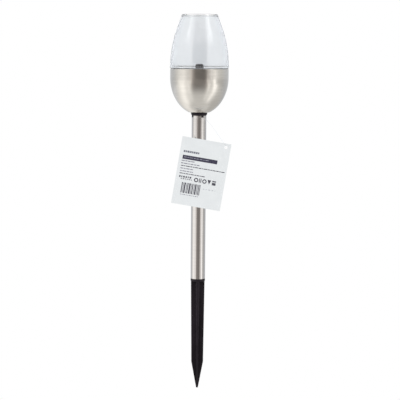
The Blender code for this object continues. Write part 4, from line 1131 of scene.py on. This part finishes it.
bm = bmesh.new()
card_patch(bm, 0.0, TAG_W, 0.0, TAG_H, -TAG_T, 0.0, 1.6)
bmesh.ops.recalc_face_normals(bm, faces=bm.faces)
card_base = bpy.data.meshes.new("card")
bm.to_mesh(card_base)
bm.free()
punch = lathe_mesh("punch", [(0, 4.0), (1.5, 4.0), (1.5, -4.0), (0, -4.0)], False, 40)
punch.transform(Matrix.Translation(tuple(c * 0.001 for c in HOLE)) @ Matrix.Rotation(math.pi / 2, 4, "X"))
card = combined("swing_tag_card", card_base, [("DIFFERENCE", punch)], 50.0)
piece(card, CARD, "tag", ["tag_card"])


def dashes(bm, u0, u1, v, tall, pattern, gap=0.55, low=-0.02, high=0.035):
    """A row of plain dashes between u0 and u1: pattern is their lengths in mm, repeated."""
    u, i = u0, 0
    while u < u1 - 0.3:
        end = min(u + pattern[i % len(pattern)], u1)
        card_patch(bm, u, end, v - tall / 2, v + tall / 2, low, high)
        u, i = end + gap, i + 1


def navy_print(bm):
    card_patch(bm, 3.4, 36.9, 17.35, 21.15, -0.02, 0.035)


def white_print(bm):
    dashes(bm, 4.6, 29.0, 19.2, 0.45, (2.6, 1.4, 3.1, 1.9, 2.2), 0.8, 0.03, 0.06)


def slate_print(bm):
    dashes(bm, 3.6, 18.9, 13.7, 1.8, (1.5, 1.1, 1.8), 0.5)


def grey_print(bm):
    dashes(bm, 3.0, 16.0, 22.7, 0.8, (3.2, 1.8, 2.6))
    dashes(bm, 2.9, 20.7, 25.2, 0.8, (2.2, 3.6, 1.6, 2.9))
    dashes(bm, 3.1, 15.2, 30.1, 0.8, (2.9, 1.5, 3.4))
    dashes(bm, 3.2, 15.7, 32.6, 0.8, (1.7, 3.8, 2.3))
    dashes(bm, 7.0, 24.6, 54.9, 0.6, (0.9, 0.9, 1.6), 0.7)
    dashes(bm, 27.8, 39.5, 46.6, 0.4, (1.2, 0.7, 1.8), 1.6)


def dark_print(bm):
    dashes(bm, 3.3, 45.3, 27.6, 0.8, (2.4, 1.3, 3.7, 2.0, 1.6, 3.0), 0.5)
    dashes(bm, 3.1, 27.6, 34.9, 0.8, (3.3, 1.6, 2.4, 1.2), 0.5)
    dashes(bm, 3.3, 15.0, 38.0, 1.7, (1.3, 0.9, 1.6), 0.8)
    dashes(bm, 5.2, 16.0, 40.0, 0.8, (1.0, 1.5, 0.8), 0.8)
    card_ring(bm, 19.9, 39.2, 2.1, 1.15)
    for u in (22.7, 24.1):
        card_patch(bm, u, u + 0.8, 37.2, 41.2, -0.02, 0.035)
    card_ring(bm, 27.9, 39.3, 2.1, 1.15)
    card_shape(bm, [(30.7, 37.2), (34.3, 37.2), (32.5, 41.4)])
    card_patch(bm, 35.3, 38.9, 37.3, 38.5, -0.02, 0.035)
    card_patch(bm, 35.3, 38.9, 39.2, 41.6, -0.02, 0.035)
    widths, gaps = (0.9, 0.5, 1.3, 0.55, 0.8, 1.5, 0.5), (0.62, 0.5, 0.8, 0.5, 0.66)
    u, i = 7.0, 0
    while u < 24.6:
        end = min(u + widths[i % 7], 25.0)
        card_patch(bm, u, end, 43.3, 53.4, -0.02, 0.035, 5.0)
        u, i = end + gaps[i % 5], i + 1


printed("tag_print_band", navy_print, NAVY)
printed("tag_print_band_dashes", white_print, PAPER_INK)
printed("tag_print_heading", slate_print, SLATE)
printed("tag_print_rows", grey_print, GREY)
printed("tag_print_marks", dark_print, DARK_INK)

# ================================================================== tag tie and its lock
hx, hy, hz = HOLE
bend = 1.5
RING_R, RING_Z, BACK_R = 7.7, 157.9, 8.8
loop = ([(hx, hy + bend * math.sin(math.radians(a)), hz + 1.0 - bend * math.cos(math.radians(a)))
         for a in (90, 45, 0, -45, -90)]
        + [(hx - 1.6, hy - bend - 0.05, hz + 3.4), (20.2, hy - bend, 139.6),
           (14.6, hy - 1.3, 147.2), (9.2, hy - 0.9, 153.6), (4.4, hy - 0.2, 157.2)]
        + [(RING_R * math.cos(math.radians(a)), RING_R * math.sin(math.radians(a)), RING_Z)
           for a in (-90, -120, -150, -180, -210, -232)]
        + [(-2.4, BACK_R, RING_Z), (0, BACK_R, RING_Z), (2.4, BACK_R, RING_Z)]
        + [(6.4, 6.9, 156.4), (10.4, 3.6, 152.0), (14.9, -0.3, 146.3), (20.0, -3.9, 139.0),
           (hx - 1.7, hy + bend + 0.2, hz + 3.4)])
path = smooth_path(loop, 0.9, closed=True)
middle = Vector((0, BACK_R, RING_Z))
lock_at = min(range(len(path)), key=lambda i: (path[i] - middle).length)
ordered = path[lock_at:-1] + path[:lock_at]
strand = [p for p in ordered if (p - middle).length > 1.6]
tie = finish_mesh("tag_tie_strand", tube_mesh("tag_tie_strand", strand, 0.14), 40.0, weighted=False)
piece(tie, NYLON, "tag_loop", ["tag_tie"])
lock = lathe("tag_tie_lock", [(0, 2.0), (0.8, 2.0, 0.1), (1.2, 1.5, 0.2), (1.2, 0.55, 0.1), (1.0, 0.4, 0.08),
                              (1.0, -0.4, 0.08), (1.2, -0.55, 0.1), (1.2, -1.5, 0.2), (0.8, -2.0, 0.1),
                              (0, -2.0)], steps=40)
lock.data.transform(Matrix.Translation((0, BACK_R * 0.001, RING_Z * 0.001)) @ Matrix.Rotation(math.pi / 2, 4, "Y"))
piece(lock, NYLON, "tag_loop", ["tie_lock"])

# ================================================================== materials of the inner parts
for node, material in {
    "cup_washer": SCREW_METAL, "cup_screw": SCREW_METAL, "led_lead_1": NICKEL, "led_lead_2": NICKEL,
    "battery_cell": SLEEVE, "contact_plate_pos": NICKEL, "contact_plate_neg": NICKEL,
    "contact_spring": NICKEL, "switch_body": NICKEL, "switch_slider": KNOB, "circuit_board": BOARD,
    "control_chip": CHIP, "choke_coil": CHOKE, "battery_wire_pos": RED_WIRE,
    "battery_wire_neg": BLACK_WIRE, "solar_wire_pos": RED_WIRE, "solar_wire_neg": BLACK_WIRE,
    "switch_wire_1": BLACK_WIRE, "switch_wire_2": BLACK_WIRE,
}.items():
    dress(node, material)
